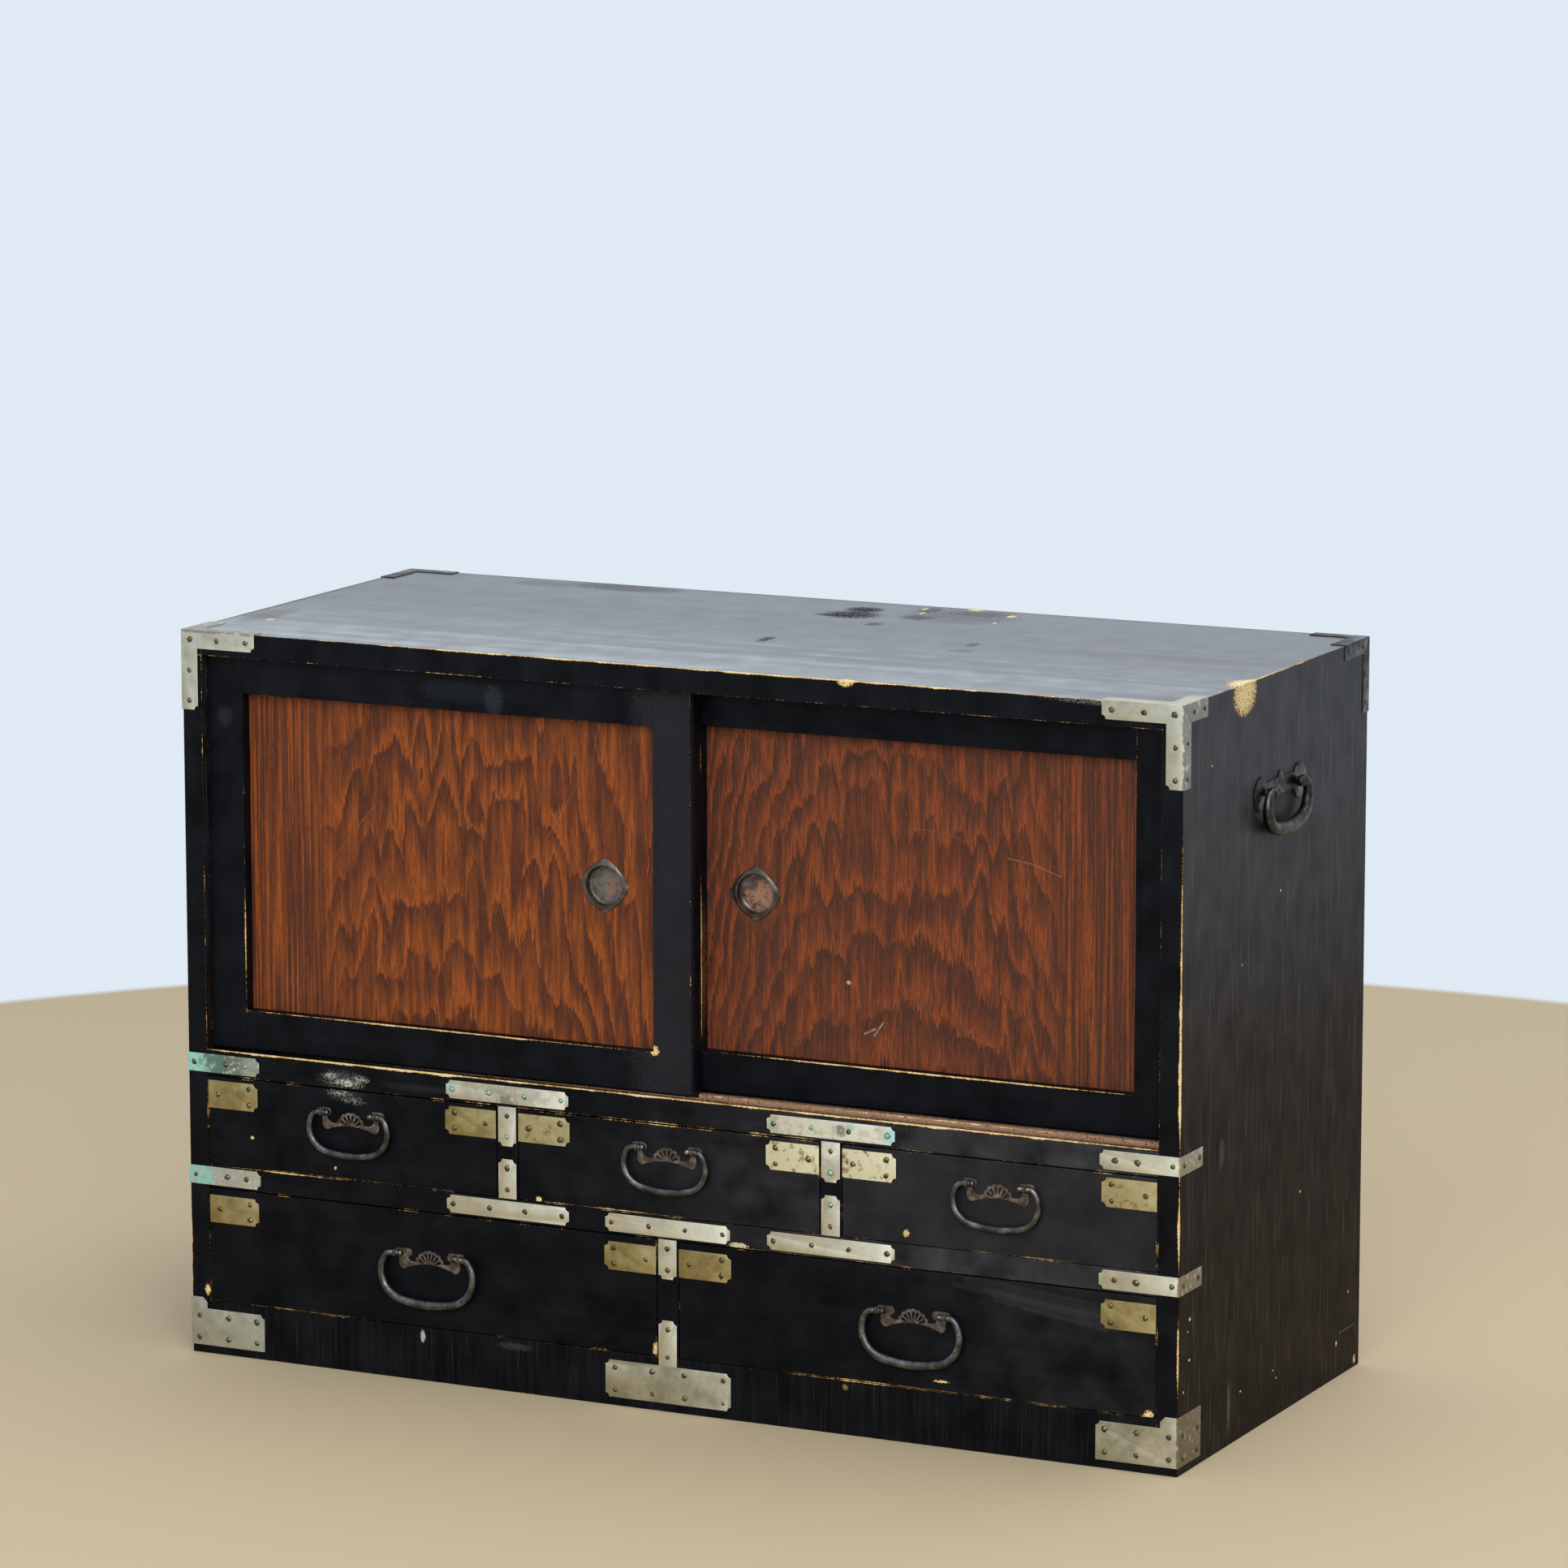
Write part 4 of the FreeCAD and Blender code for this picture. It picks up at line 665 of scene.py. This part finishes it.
def stainedAsh(name, look, marks):
    # The face cuts ring n where height + bend * |across| ^ power - tooth * |noise| = n run,
    # and the rings crowd together lower down. Each is orange just over its border and
    # darkens to the next. On the side of flankSide they give way to upright lines.
    material, add, shader, point = startMaterial(name)
    x, _, z = add("SeparateXYZ", [point]).node.outputs
    shifted = add("VectorMath ADD", [point, (look["seed"], look["seed"], 0.0)])
    drawn = partial(stretched, add, shifted, "z")
    aside = add("Math SUBTRACT", [x, look["heart"]])
    across = add("Math ABSOLUTE", [aside])
    bow = add("Math POWER", [across, panelGrain["power"]])
    height = add("Math MULTIPLY_ADD", [bow, panelGrain["bend"], z])
    teeth = add("TexNoise", [drawn(panelGrain["toothStretch"]), None, 1 / look["toothWidth"],
                             0.6, 0.4])
    teeth = add("Math SUBTRACT", [teeth, 0.5])
    teeth = add("Math ABSOLUTE", [teeth])
    tallness = add("MapRange", [z, panelGrain["toothFrom"], panelGrain["toothTo"],
                                look["toothHeight"] * -1.9, look["toothHeight"] * -4])
    height = add("Math MULTIPLY_ADD", [teeth, tallness, height])
    sway = add("TexNoise", [drawn(2.0), None, 1 / panelGrain["swayWidth"], 1.0])
    height = add("Math MULTIPLY_ADD", [sway, -panelGrain["swayHeight"], height])
    lines = add("TexNoise", [drawn(panelGrain["lineStretch"]), None,
                             1 / panelGrain["lineWidth"], 3.0, 0.6])
    line = add("Math SUBTRACT", [lines, 0.5])
    line = add("Math MULTIPLY", [line, look["jitter"]])
    turns = add("Math DIVIDE", [height, look["ringRun"]])
    below = add("Math SUBTRACT", [panelGrain["crowdBelow"], height])
    below = add("Math MULTIPLY", [below, below])
    turns = add("Math MULTIPLY_ADD", [below, -look["crowd"], turns])
    turns = add("Math MULTIPLY_ADD", [line, 0.95, turns])
    ring = add("Math FRACT", [turns])
    streaks = add("TexNoise", [drawn(panelGrain["lineStretch"]), None,
                               1 / look["streakWidth"]])
    streaks = add("Math SUBTRACT", [streaks, 0.5])
    ring = add("Math MULTIPLY_ADD", [streaks, look["streaky"], ring])
    upright = add("TexNoise", [drawn(panelGrain["uprightStretch"]), None,
                               1 / look["uprightWidth"], 2.5])
    upright = add("MapRange", [upright, 0.34, 0.66, 0.95, 0.05])
    flank = add("Math MULTIPLY", [aside, look["flankSide"]])
    flank = add("MapRange", [flank, look["flank"], look["flank"] + panelGrain["flankWidth"],
                             0.0, 1.0], interpolation_type="SMOOTHSTEP")
    plain = add("Math MULTIPLY_ADD", [streaks, 1.6, 0.45])
    clouds = add("TexNoise", [drawn(1.6), None, 1 / panelGrain["cloudWidth"]])
    faint = add("MapRange", [clouds, 0.36, 0.62, 0.05, 0.6])
    ring = add("Mix", {0: faint, 2: ring, 3: plain})
    ring = add("Mix", {0: flank, 2: ring, 3: upright})
    place = add("Math MULTIPLY_ADD", [line, 1.1, ring])
    colour = add("ValToRGB", [place], stops=[
        (0.0, look["mid"]), (0.1, look["light"]), (0.32, look["warm"]),
        (0.6, look["mid"]), (0.88, look["dark"]), (1.0, look["mid"])])
    pores = add("TexNoise", [drawn(panelGrain["poreStretch"]), None,
                             1 / panelGrain["poreWidth"]])
    pore = add("MapRange", [pores, 0.52, 0.72, 0.0, 0.75])
    colour = add("Mix", {0: pore, 6: colour, 7: look["dark"]}, **colourMix)
    fleck = add("MapRange", [pores, 0.42, 0.28, 0.0, 0.4])
    colour = add("Mix", {0: fleck, 6: colour, 7: look["light"]}, **colourMix)
    face = boxOf(name)[0][1]
    for (startX, startZ), (endX, endZ), width, tone in marks:
        near = scratch(add, point, (startX, face, startZ), (endX, face, endZ), width)
        near = add("MapRange", [lines, 0.35, 0.65, 0.0, near])
        colour = add("Mix", {0: near, 6: colour, 7: tone}, **colourMix)
    rough = add("MapRange", [pores, 0.3, 0.7, 0.4, 0.6])
    bump = add("Bump", {"Height": pores, "Distance": -panelGrain["poreDepth"] * mm,
                        "Strength": 0.5})
    feed(shader, {"Base Color": colour, "Specular IOR Level": 0.1, "Roughness": rough,
                  "Normal": bump})
    return material


for hand, look in panelLooks.items():
    node = hand + "_door_panel"
    refinish(node, stainedAsh(node, look, panelScratches[hand]))
print("door panels")


# Bare softwood inside: planed cedar, pale brown with darker rings, dusty with age

cedar = {
    "light": "#b3916a",
    "mid": "#9d7b55",
    "dark": "#80613f",
    "seam": "#2b2019",
    "ringWidth": 3.4,
    "stretch": 34.0,
    "warpWidth": 30.0,
    "warp": 40.0,
    "boardShift": (410.0, 90.0, 90.0),  # mm from each board's figure to the next
    "ringDepth": 0.1,
}


def bareCedar(name, grain, seams=()):
    # seams are the heights on the back where one board ends and the next begins
    material, add, shader, point = startMaterial(name)
    figure, height = point, add("SeparateXYZ", [point], 2)
    for seam in seams:
        above = add("Math GREATER_THAN", [height, seam])
        shift = add("VectorMath SCALE", {0: cedar["boardShift"], "Scale": above})
        figure = add("VectorMath ADD", [figure, shift])
    drawn = stretched(add, figure, grain, cedar["stretch"])
    warp = add("TexNoise", [drawn, None, 1 / cedar["warpWidth"]], 1)
    bent = add("VectorMath SCALE", {0: warp, "Scale": cedar["warp"]})
    bent = add("VectorMath ADD", [drawn, bent])
    rings = add("TexNoise", [bent, None, 1 / cedar["ringWidth"], 3.0, 0.6])
    colour = add("ValToRGB", [rings], stops=[
        (0.3, cedar["dark"]), (0.48, cedar["mid"]), (0.62, cedar["light"])])
    for seam in seams:
        near = lineDistance(add, point, (0, back, seam), "x")
        near = add("MapRange", [near, 0.3, 0.9, 1.0, 0.0])
        colour = add("Mix", {0: near, 6: colour, 7: cedar["seam"]}, **colourMix)
    bump = add("Bump", {"Height": rings, "Distance": cedar["ringDepth"] * mm,
                        "Strength": 0.4})
    feed(shader, {"Base Color": colour, "Roughness": 0.72, "Specular IOR Level": 0.3,
                  "Normal": bump})
    return material


cedarAlong = bareCedar("bareCedarAlong", "x")
cedarDeep = bareCedar("bareCedarDeep", "y")
heights = sorted({round(vertex.co.z / mm, 1)
                  for vertex in frame["nodes"]["back_boards"].data.vertices})
refinish("back_boards", bareCedar("bareCedarBack", "x", heights[1:-1:2]))
for node in ("cabinet_floor", "drawer_shelf", "bottom_board"):
    refinish(node, cedarAlong)
for node in ["upper_partitions",
             "lower_partition"] + [drawer + "_box" for drawer in drawers]:
    refinish(node, cedarDeep)
print("inner boards")


# Metal fittings: old plated sheet, cloudy with tarnish, and forged iron

metalWear = {"grain": 1.4, "grime": 0.5, "blotch": 6.0}  # sizes in mm


def tarnishedMetal(name, tones, rough, metallic=1.0, cloud=16.0, spots=(), bumpHeight=0.05):
    # Clouds go through the three tones, and the spots are patches that are hardly metal: crusts, smudges and
    # rubbed places, and painted shade where a plate turns onto the side
    material, add, shader, point = startMaterial(name)
    clouds = add("TexNoise", [point, None, 1 / cloud, 5.0, 0.6])
    fine = add("TexNoise", [point, None, 1 / metalWear["grain"], 3.0, 0.7])
    colour = add("ValToRGB", [clouds], stops=list(zip((0.32, 0.5, 0.66), tones)))
    grain = add("MapRange", [fine, 0.5, 0.75, 0.0, metalWear["grime"]])
    colour = add("Mix", {0: grain, 6: colour, 7: tones[0]}, **colourMix)
    frayed = add("TexNoise", [point, None, 1 / metalWear["blotch"], 5.0, 0.65])
    mottle = add("Math MULTIPLY_ADD", [frayed, 5.0, -1.5])
    crusts = []
    for centre, size, tone, amount in spots:
        near = add("Math MULTIPLY", [mottle, patch(add, point, centre, size)])
        near = add("MapRange", [near, 0.25, 0.6, 0.0, amount])
        colour = add("Mix", {0: near, 6: colour, 7: tone}, **colourMix)
        crusts.append(near)
    if crusts:
        dull = reduce(lambda one, other: add("Math MAXIMUM", [one, other]), crusts)
        metallic = add("MapRange", [dull, 0.0, 1.0, metallic, 0.1])
    gloss = add("MapRange", [clouds, 0.3, 0.7, rough[1], rough[0]])
    bump = add("Bump", {"Height": fine, "Distance": bumpHeight * mm, "Strength": 0.5})
    feed(shader, {"Base Color": colour, "Metallic": metallic, "Roughness": gloss,
                  "Normal": bump})
    return material


def frontSpots(*rows):
    # Spots on the front: middle, height, and their reach both ways, with tone and amount
    return [((x, front, z), (wide, 9, high), tone, amount)
            for x, z, wide, high, tone, amount in rows]


verdigris, smudge = "#7fb5aa", "#5d5648"
sillLevel, middleLevel, postX = 264.5, 162.5, 155.33
sheet = 0.8
wing = half + 1, front + 30  # where the plates lie on the right side
# Spots at wing darken the plates where they turn onto the right side of the chest: painted shade.
nickel = tarnishedMetal(
    "tarnishedNickelPlate", ("#afaa97", "#c1beaa", "#cdcbb9"), (0.34, 0.5), spots=[
        ((-440, front + 6, tall + 1), (110, 90, 4), "#6d6a62", 0.8),
        # painted shade on the side wing
        ((*wing, 620), (3, 500, 500), "#716f65", 1.0)])
nickelDull = tarnishedMetal(
    "dulledNickelPlate", ("#98937d", "#b5b19b", "#cac6b2"), (0.38, 0.54), spots=[
        # painted shade on the side wing
        ((*wing, 25), (3, 500, 500), "#675a43", 1.0),
        *frontSpots((-440, 25, 130, 90, "#82847a", 0.5))])
nickelSpotted = tarnishedMetal(
    "tarnishedNickelVerdigris", ("#bab5a2", "#cecbb7", "#dddac9"), (0.36, 0.52), spots=[
        ((-452, front, sillLevel), (90, 90, 60), "#5a8f82", 0.9),
        ((-466, front, sillLevel), (40, 90, 34), "#97d3c6", 0.9),
        *frontSpots((-440, sillLevel + 2, 34, 34, "#3f5a50", 0.85),
                    (-418, sillLevel, 32, 34, "#6b6a5c", 0.85),
                    (-411, sillLevel - 2, 16, 16, "#8f9c8e", 0.7),
                    (-430, middleLevel, 110, 70, "#838072", 0.7)),
        ((-472, front, middleLevel), (38, 60, 34), "#8ac4b8", 0.9),
        # painted shade on the side wings at both levels
        ((*wing, sillLevel), (3, 500, 60), "#8b7f69", 1.0),
        ((*wing, middleLevel), (3, 500, 60), "#786b54", 1.0),
        *frontSpots((-postX + 6, sillLevel, 60, 22, smudge, 0.3),
                    (postX, sillLevel, 100, 40, "#dfdfcf", 0.5),
                    (-postX - 54, sillLevel, 7, 8, verdigris, 0.7),
                    (postX + 56, sillLevel, 13, 18, "#9ccbc4", 0.85),
                    (postX - 56, sillLevel, 5, 9, verdigris, 0.6),
                    (postX + 18, sillLevel + 4, 6, 5, verdigris, 0.6),
                    (-postX, sillLevel - 5, 16, 7, smudge, 0.7),
                    (postX + 8, sillLevel, 10, 8, smudge, 0.8))])
# Brass, rubbed bright in places. Two spots on one place let less of the tarnish show.
brassFinish = ("#85774d", "#a29362", "#b5a77a"), (0.34, 0.5)
brass = tarnishedMetal("tarnishedBrass", *brassFinish)
brassWorn = {
    "upper_middle_drawer": tarnishedMetal("wornBrassMiddle", *brassFinish, spots=frontSpots(
        (115, 244, 120, 60, "#d0caa8", 0.85), (115, 246, 120, 60, "#cbc4a0", 0.85),
        (-115, 240, 60, 50, "#b5ab84", 0.5))),
    "upper_right_drawer": tarnishedMetal("wornBrassRight", *brassFinish, spots=frontSpots(
        (200, 243, 140, 70, "#d3cdae", 0.85), (200, 243, 140, 70, "#cfc8a7", 0.85),
        (430, 240, 60, 34, "#b3a67c", 0.5))),
}
iron = tarnishedMetal("forgedIron", ("#262524", "#3d3b3a", "#575554"), (0.3, 0.48),
                      cloud=9.0)
# A lighter copy of the forged iron for the drawer bails: painted highlight, so that they shine brighter.
highlitBailIron = tarnishedMetal("rubbedBailIron", ("#353332", "#575454", "#7e7b7a"), (0.26, 0.42),
                          cloud=9.0)
rusty = tarnishedMetal("rustedIron", ("#362c25", "#564b42", "#7b6f64"), (0.5, 0.7),
                       metallic=0.6, cloud=6.0, bumpHeight=0.12)
bronzeFinish = ("#3c3733", "#5c534d", "#7d706a"), (0.34, 0.5)
bronze = {
    "left": tarnishedMetal("patinatedBronzeLeft", *bronzeFinish, cloud=11.0, spots=[
        ((-69.5, front + 27, 452.4), (24, 6, 24), "#6a6a5e", 0.6),
        ((-66, front + 27, 450), (13, 6, 13), "#8a5f45", 0.6)]),
    "right": tarnishedMetal("patinatedBronzeRight", *bronzeFinish, cloud=11.0, spots=[
        ((65, front + 51, 450), (24, 6, 22), "#a27055", 0.75),
        ((56, front + 51, 459), (9, 6, 9), "#2e2927", 0.8)]),
}
greenNails = [(-postX - 54, sillLevel), (-postX - 18, sillLevel), (-postX + 17, sillLevel),
              (-postX + 53, sillLevel), (postX - 18, sillLevel), (postX + 53, sillLevel),
              (postX, 227), (postX, 199.5), (-postX, 227), (-417, sillLevel)]
nailIron = tarnishedMetal(
    "nailIron", ("#3f3626", "#61563e", "#82765b"), (0.32, 0.46), cloud=3.0,
    spots=[((x, front - 1, z), (7, 9, 7), "#8cc0b5", 0.75) for x, z in greenNails])
# The dark ring round each nail head: grime, and painted shade under the head
nailGrimeAndShade = tarnishedMetal("nailGrimeAndShade", ("#2a241b", "#3b3327", "#4d4434"), (0.6, 0.8),
                           metallic=0.1, cloud=2.0)

plateEdge, thinEdge = 0.22, 0.15  # mm
plateFinishes = {
    nickelSpotted: ("joint_plates", "sill_straps", "middle_straps", "post_plates"),
    nickel: ("front_top_corners",),
    nickelDull: ("base_joint_plate", "base_corners"),
    iron: ("rear_top_corners", "side_handle_plates"),
}
for finish, nodes in plateFinishes.items():
    for node in nodes:
        eased(node, plateEdge, finish, rounded=True)
for drawer in drawers:
    eased(drawer + "_corner_plates", plateEdge, brassWorn.get(drawer, brass), rounded=True)
    eased(drawer + "_handle_plate", thinEdge, rusty, rounded=True)
for hand in ("left", "right"):
    eased(hand + "_door_pull", thinEdge, bronze[hand], rounded=True)
print("plates")


# Bails: one smooth wire, knobbed at each end. Its line is straight through the eye, then
# a tight shoulder, a long side and a wide belly, three arcs that share their tangents.
# Its radius is thin at the ends and swells with the sine of the run to the belly.

drawerEye = {"eye": 2.2, "bead": 2.2, "beadRadius": 3.2, "neck": 1.6, "knob": 4.4}  # mm
bailLooks = {
    "small": {**drawerEye, "eyeReach": 27.0, "drop": 37.2, "tip": 2.6, "belly": 3.3,
              "shoulder": 0.188, "haunch": 0.565},
    "large": {**drawerEye, "eyeReach": 31.9, "drop": 43.9, "tip": 2.9, "belly": 4.2,
              "shoulder": 0.182, "haunch": 0.569},
    "side": {"eyeReach": 34.0, "eye": 2.8, "bead": 2.6, "beadRadius": 4.6, "neck": 2.6,
             "knob": 5.0, "drop": 34.5, "tip": 3.3, "belly": 6.3, "shoulder": 0.145,
             "haunch": 0.551},
}
shoulderTurn = math.radians(60)
wireSides = 20


def bailLine(look):
    # Half of the bail's line from the knob's tip to the middle of the belly: distance out,
    # height, heading below the horizontal, and the wire's radius, as arrays
    near, far = look["eyeReach"] - look["eye"] / 2, look["eyeReach"] + look["eye"] / 2
    start, inner = far + look["bead"], near - look["bead"]
    bead, tip = look["beadRadius"], inner - look["knob"]
    knob = [
        (tip, 0.02), (tip + 0.02, bead * 0.3), (tip + 0.35, bead * 0.55),
        (tip + 1.1, bead * 0.8), (tip + 2.2, bead * 0.9), (tip + 3.4, bead * 0.84),
        (inner - 0.3, bead * 0.66), (inner, bead * 0.66), (inner + 0.35, bead * 0.94),
        (near - look["bead"] / 2, bead), (near - 0.35, bead * 0.94),
        (near - 0.02, bead * 0.7), (near, look["neck"]), (far, look["neck"]),
        (far + 0.02, bead * 0.7), (far + 0.3, bead * 0.93), (far + 0.8, bead),
        (far + 1.2, bead * 0.93), (far + 1.45, bead * 0.78), (far + 1.7, bead * 0.92),
        (far + 2.0, bead * 0.96),
    ]
    drop = look["drop"]
    shoulder, haunch = drop * look["shoulder"], drop * look["haunch"]
    across = start - (haunch - shoulder) * math.sin(shoulderTurn)
    down = shoulder + (haunch - shoulder) * math.cos(shoulderTurn)
    lastTurn = 2 * math.atan2(across, drop - down - haunch)
    belly = haunch + across / math.sin(lastTurn)
    arcs = [(start, -shoulder, shoulder, 0.0, shoulderTurn, 12),
            (across, -down, haunch, shoulderTurn, lastTurn, 22),
            (0.0, belly - drop, belly, lastTurn, math.pi, 14)]
    out = [np.array([place for place, _ in knob])]
    up = [np.zeros(len(knob))]
    heading = [np.zeros(len(knob))]
    runs, run = [], 0.0
    for centre, level, radius, first, last, steps in arcs:
        turn = np.linspace(first, last, steps + 1)
        if last < math.pi:
            turn = turn[:-1]
        out.append(centre + radius * np.sin(turn))
        up.append(level + radius * np.cos(turn))
        heading.append(turn)
        runs.append(run + radius * (turn - first))
        run += radius * (last - first)
    share = np.concatenate(runs) / run
    swell = look["tip"] + (look["belly"] - look["tip"]) * np.sin(share * math.pi / 2)
    radius = np.concatenate([np.array([value for _, value in knob]), swell])
    return np.concatenate(out), np.concatenate(up), np.concatenate(heading), radius


def unitRings(sides, lifts, around):
    # Ring i is cos a side[i] + sin a lift[i], for a from 0 to a full turn
    angle = np.linspace(0, 2 * math.pi, around, endpoint=False)[:, None]
    return np.cos(angle) * sides[:, None] + np.sin(angle) * lifts[:, None]


def ringFaces(count, around):
    # The numbers of the points of each ring, those of their neighbours, and the faces
    # between the rings
    index = np.arange(count * around).reshape(count, around)
    following = np.roll(index, -1, axis=1)
    quads = np.stack([index[:-1], following[:-1], following[1:], index[1:]], -1)
    return index, following, quads.reshape(-1, 4)


def tubeMesh(name, centres, sides, lifts, radii, around):
    # A closed tube: a ring of its radius round each centre, and a point closes each end
    points = centres[:, None] + radii[:, None, None] * unitRings(sides, lifts, around)
    count = len(centres)
    index, following, quads = ringFaces(count, around)
    points = np.concatenate([points.reshape(-1, 3), centres[:1], centres[-1:]])
    first, last = count * around, count * around + 1
    starts = np.stack([np.full(around, first), following[0], index[0]], -1)
    ends = np.stack([np.full(around, last), index[-1], following[-1]], -1)
    mesh = bpy.data.meshes.new(name)
    mesh.from_pydata((points * mm).tolist(), [],
                     quads.tolist() + starts.tolist() + ends.tolist())
    mesh.polygons.foreach_set("use_smooth", np.ones(len(mesh.polygons), bool))
    return mesh


def bail(node, kind):
    out, up, heading, radius = bailLine(bailLooks[kind])
    out = np.concatenate([out, -out[-2::-1]])
    up = np.concatenate([up, up[-2::-1]])
    heading = np.concatenate([heading, 2 * math.pi - heading[-2::-1]])
    radius = np.concatenate([radius, radius[-2::-1]])
    joint = next(j for j in frame["joints"] if j["child"] == bodyOf[node])
    pivot = np.array(joint["pos_m"]) / mm
    # The line runs along the joint's axis, and hangs in the plane of it and the upright.
    along = np.array(joint["axis"], float)
    upright = np.array((0.0, 0.0, 1.0))
    outward = np.cross(along, upright)
    centres = pivot + out[:, None] * along + up[:, None] * upright
    lifts = np.sin(heading)[:, None] * along + np.cos(heading)[:, None] * upright
    sides = np.repeat(outward[None, :], len(out), axis=0)
    mesh = tubeMesh(camelName(node), centres, sides, lifts, radius, wireSides)
    # The drawer bails take the lighter iron, a painted highlight; the side bails the dark forged iron.
    mesh.materials.append(iron if kind == "side" else highlitBailIron)
    piece = addObject(camelName(node), mesh)
    shape = bmesh.new()
    shape.from_mesh(mesh)
    bmesh.ops.recalc_face_normals(shape, faces=shape.faces)
    shape.to_mesh(mesh)
    shape.free()
    takeOver(node, piece)


for drawer in drawers:
    bail(drawer + "_bail", "small" if drawer.startswith("upper") else "large")
for hand in ("left", "right"):
    bail(hand + "_side_bail", "side")
print("bails")


# Nails: hand-headed domes in a thin dark ring, grime and painted shade. A head's height over
# the ring falls with the cosine as its radius grows with the sine of the same angle.

# grime is the ring's radius over the head's; the ring is grime and painted shade
nailLook = {"radius": 2.1, "rise": 1.15, "around": 10, "rings": 3, "sink": 0.1,
            "uneven": 0.12, "grime": 1.24, "ringRise": 0.05}
nailPlaces = {  # mm
    "joint": (-54, -18, 17, 53),       # from the middle of a joint plate
    "baseJoint": (-51, -15, 16, 53),
    "baseJointLevels": (14, 34),
    "postEnd": 8,                      # from each end of a post plate
    "strap": (6, 38, 58),              # from the side of the chest, along its front
    "strapWing": (8, 40),              # from the front of the chest, along its side
    "base": (7.5, 37, 66),
    "baseWing": (9, 40),
    "baseLevels": (14.3, 33.8),
    "topLevel": 642.3,
    "top": (8, 35, 64),
    "topLeg": (615, 588),
    "topWing": (20, 42),
    "topWingLeg": (618, 588),
    "rearLevel": 643.5,
    "rear": (14, 46),
    "rearLeg": (620, 594),
    "drawerRise": (-7, 7),
}
postPlates = ((0, 117.5, 152.5), (0, 40.5, 81), (-postX, 219, 254), (postX, 219, 254),
              (-postX, 172.5, 207.5), (postX, 172.5, 207.5))  # x and heights of their ends
draw = np.random.default_rng(7)


def nails(name, body, spots):
    # spots are rows of place and outward direction
    spots = np.array(spots, float)
    places, outward = spots[:, :3], spots[:, 3:]
    helper = np.where(np.abs(outward[:, 2:]) > 0.5, [[1.0, 0, 0]], [[0, 0, 1.0]])
    side = np.cross(helper, outward)
    lift = np.cross(outward, side)
    across, count = nailLook["around"], len(spots)
    rise = np.linspace(math.pi / 2, 0, nailLook["rings"], endpoint=False)
    grow = 1 + nailLook["uneven"] * draw.standard_normal((count, 1, 1, 1))
    slant = 1 + nailLook["uneven"] * draw.standard_normal((count, across, 1))
    flat = unitRings(side, lift, across) * slant
    # The dark ring of grime and painted shade comes first, as two rings: one sunk in the plate, one just over it.
    profile = np.concatenate([[nailLook["grime"]] * 2, np.sin(rise)])
    levels = np.concatenate([[-nailLook["sink"], nailLook["ringRise"]],
                             nailLook["ringRise"] + nailLook["rise"] * np.cos(rise)])
    reach = nailLook["radius"] * profile[None, :, None, None] * grow
    level = levels[None, :, None, None]
    rings = places[:, None, None, :] + reach * flat[:, None] + level * outward[:, None, None]
    crown = places + (nailLook["rise"] + nailLook["ringRise"]) * outward
    high = len(profile)
    each = across * high + 1
    index, following, quads = ringFaces(high, across)
    caps = np.stack([index[-1], following[-1], np.full(across, across * high)], -1)
    base = np.arange(count)[:, None, None] * each
    points = np.concatenate([rings.reshape(count, -1, 3), crown[:, None]], 1).reshape(-1, 3)
    faces = (quads[None] + base).reshape(-1, 4).tolist() \
        + (caps[None] + base).reshape(-1, 3).tolist() \
        + (index[0][::-1][None] + base[:, 0]).tolist()
    mesh = bpy.data.meshes.new(name)
    mesh.from_pydata((points * mm).tolist(), [], faces)
    for material in (nailIron, nailGrimeAndShade):
        mesh.materials.append(material)
    # The ring's faces take the dark grime and painted shade
    grimeAndShadeRing = np.zeros(len(mesh.polygons), np.int32)
    grimeAndShadeRing[:count * len(quads)].reshape(count, -1)[:, :across * 2] = 1
    mesh.polygons.foreach_set("material_index", grimeAndShadeRing)
    mesh.polygons.foreach_set("use_smooth", grimeAndShadeRing == 0)
    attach(addObject(name, mesh), body)


def frontNails(places):
    return [(x, front - sheet, z, 0, -1, 0) for x, z in places]


def sideNails(hand, places):
    return [((half + sheet) * hand, y, z, hand, 0, 0) for y, z in places]


at = nailPlaces
spots = frontNails([(x + along, z) for x, z in (
    (-postX, sillLevel), (postX, sillLevel), (-postX, middleLevel), (postX, middleLevel),
    (0, middleLevel)) for along in at["joint"]])
spots += frontNails([(x, z) for x in at["baseJoint"] for z in at["baseJointLevels"]])
spots += frontNails([(x, z) for x, low, high in postPlates
                     for z in (low + at["postEnd"], high - at["postEnd"])])
for hand in (-1, 1):
    for level in (sillLevel, middleLevel):
        spots += frontNails([((half - x) * hand, level) for x in at["strap"]])
        spots += sideNails(hand, [(front + y, level) for y in at["strapWing"]])
    spots += frontNails([((half - x) * hand,
                          z) for x in at["base"] for z in at["baseLevels"]])
    spots += sideNails(hand, [(front + y,
                               z) for y in at["baseWing"] for z in at["baseLevels"]])
    spots += frontNails([((half - x) * hand, at["topLevel"]) for x in at["top"]])
    spots += frontNails([((half - 7) * hand, z) for z in at["topLeg"]])
    spots += sideNails(hand, [(front + 7, z) for z in at["topWingLeg"]])
    spots += sideNails(hand, [(front + y, at["topLevel"]) for y in at["topWing"]])
    spots += sideNails(hand, [(back - y, at["rearLevel"]) for y in at["rear"]])
    spots += sideNails(hand, [(back - 6.5, z) for z in at["rearLeg"]])
nails("carcassNails", "chest", spots)
for drawer in drawers:
    (left, _, low), (right, _, high) = boxOf(drawer + "_corner_plates")
    middle = (low + high) / 2
    spots = []
    for edge, hand in ((left, 1), (right, -1)):
        spots += frontNails([(edge + 10 * hand, middle)])
        spots += frontNails([(edge + 41 * hand, middle + rise) for rise in at["drawerRise"]])
    nails(camelName(drawer) + "Nails", drawer, spots)
print("nails")
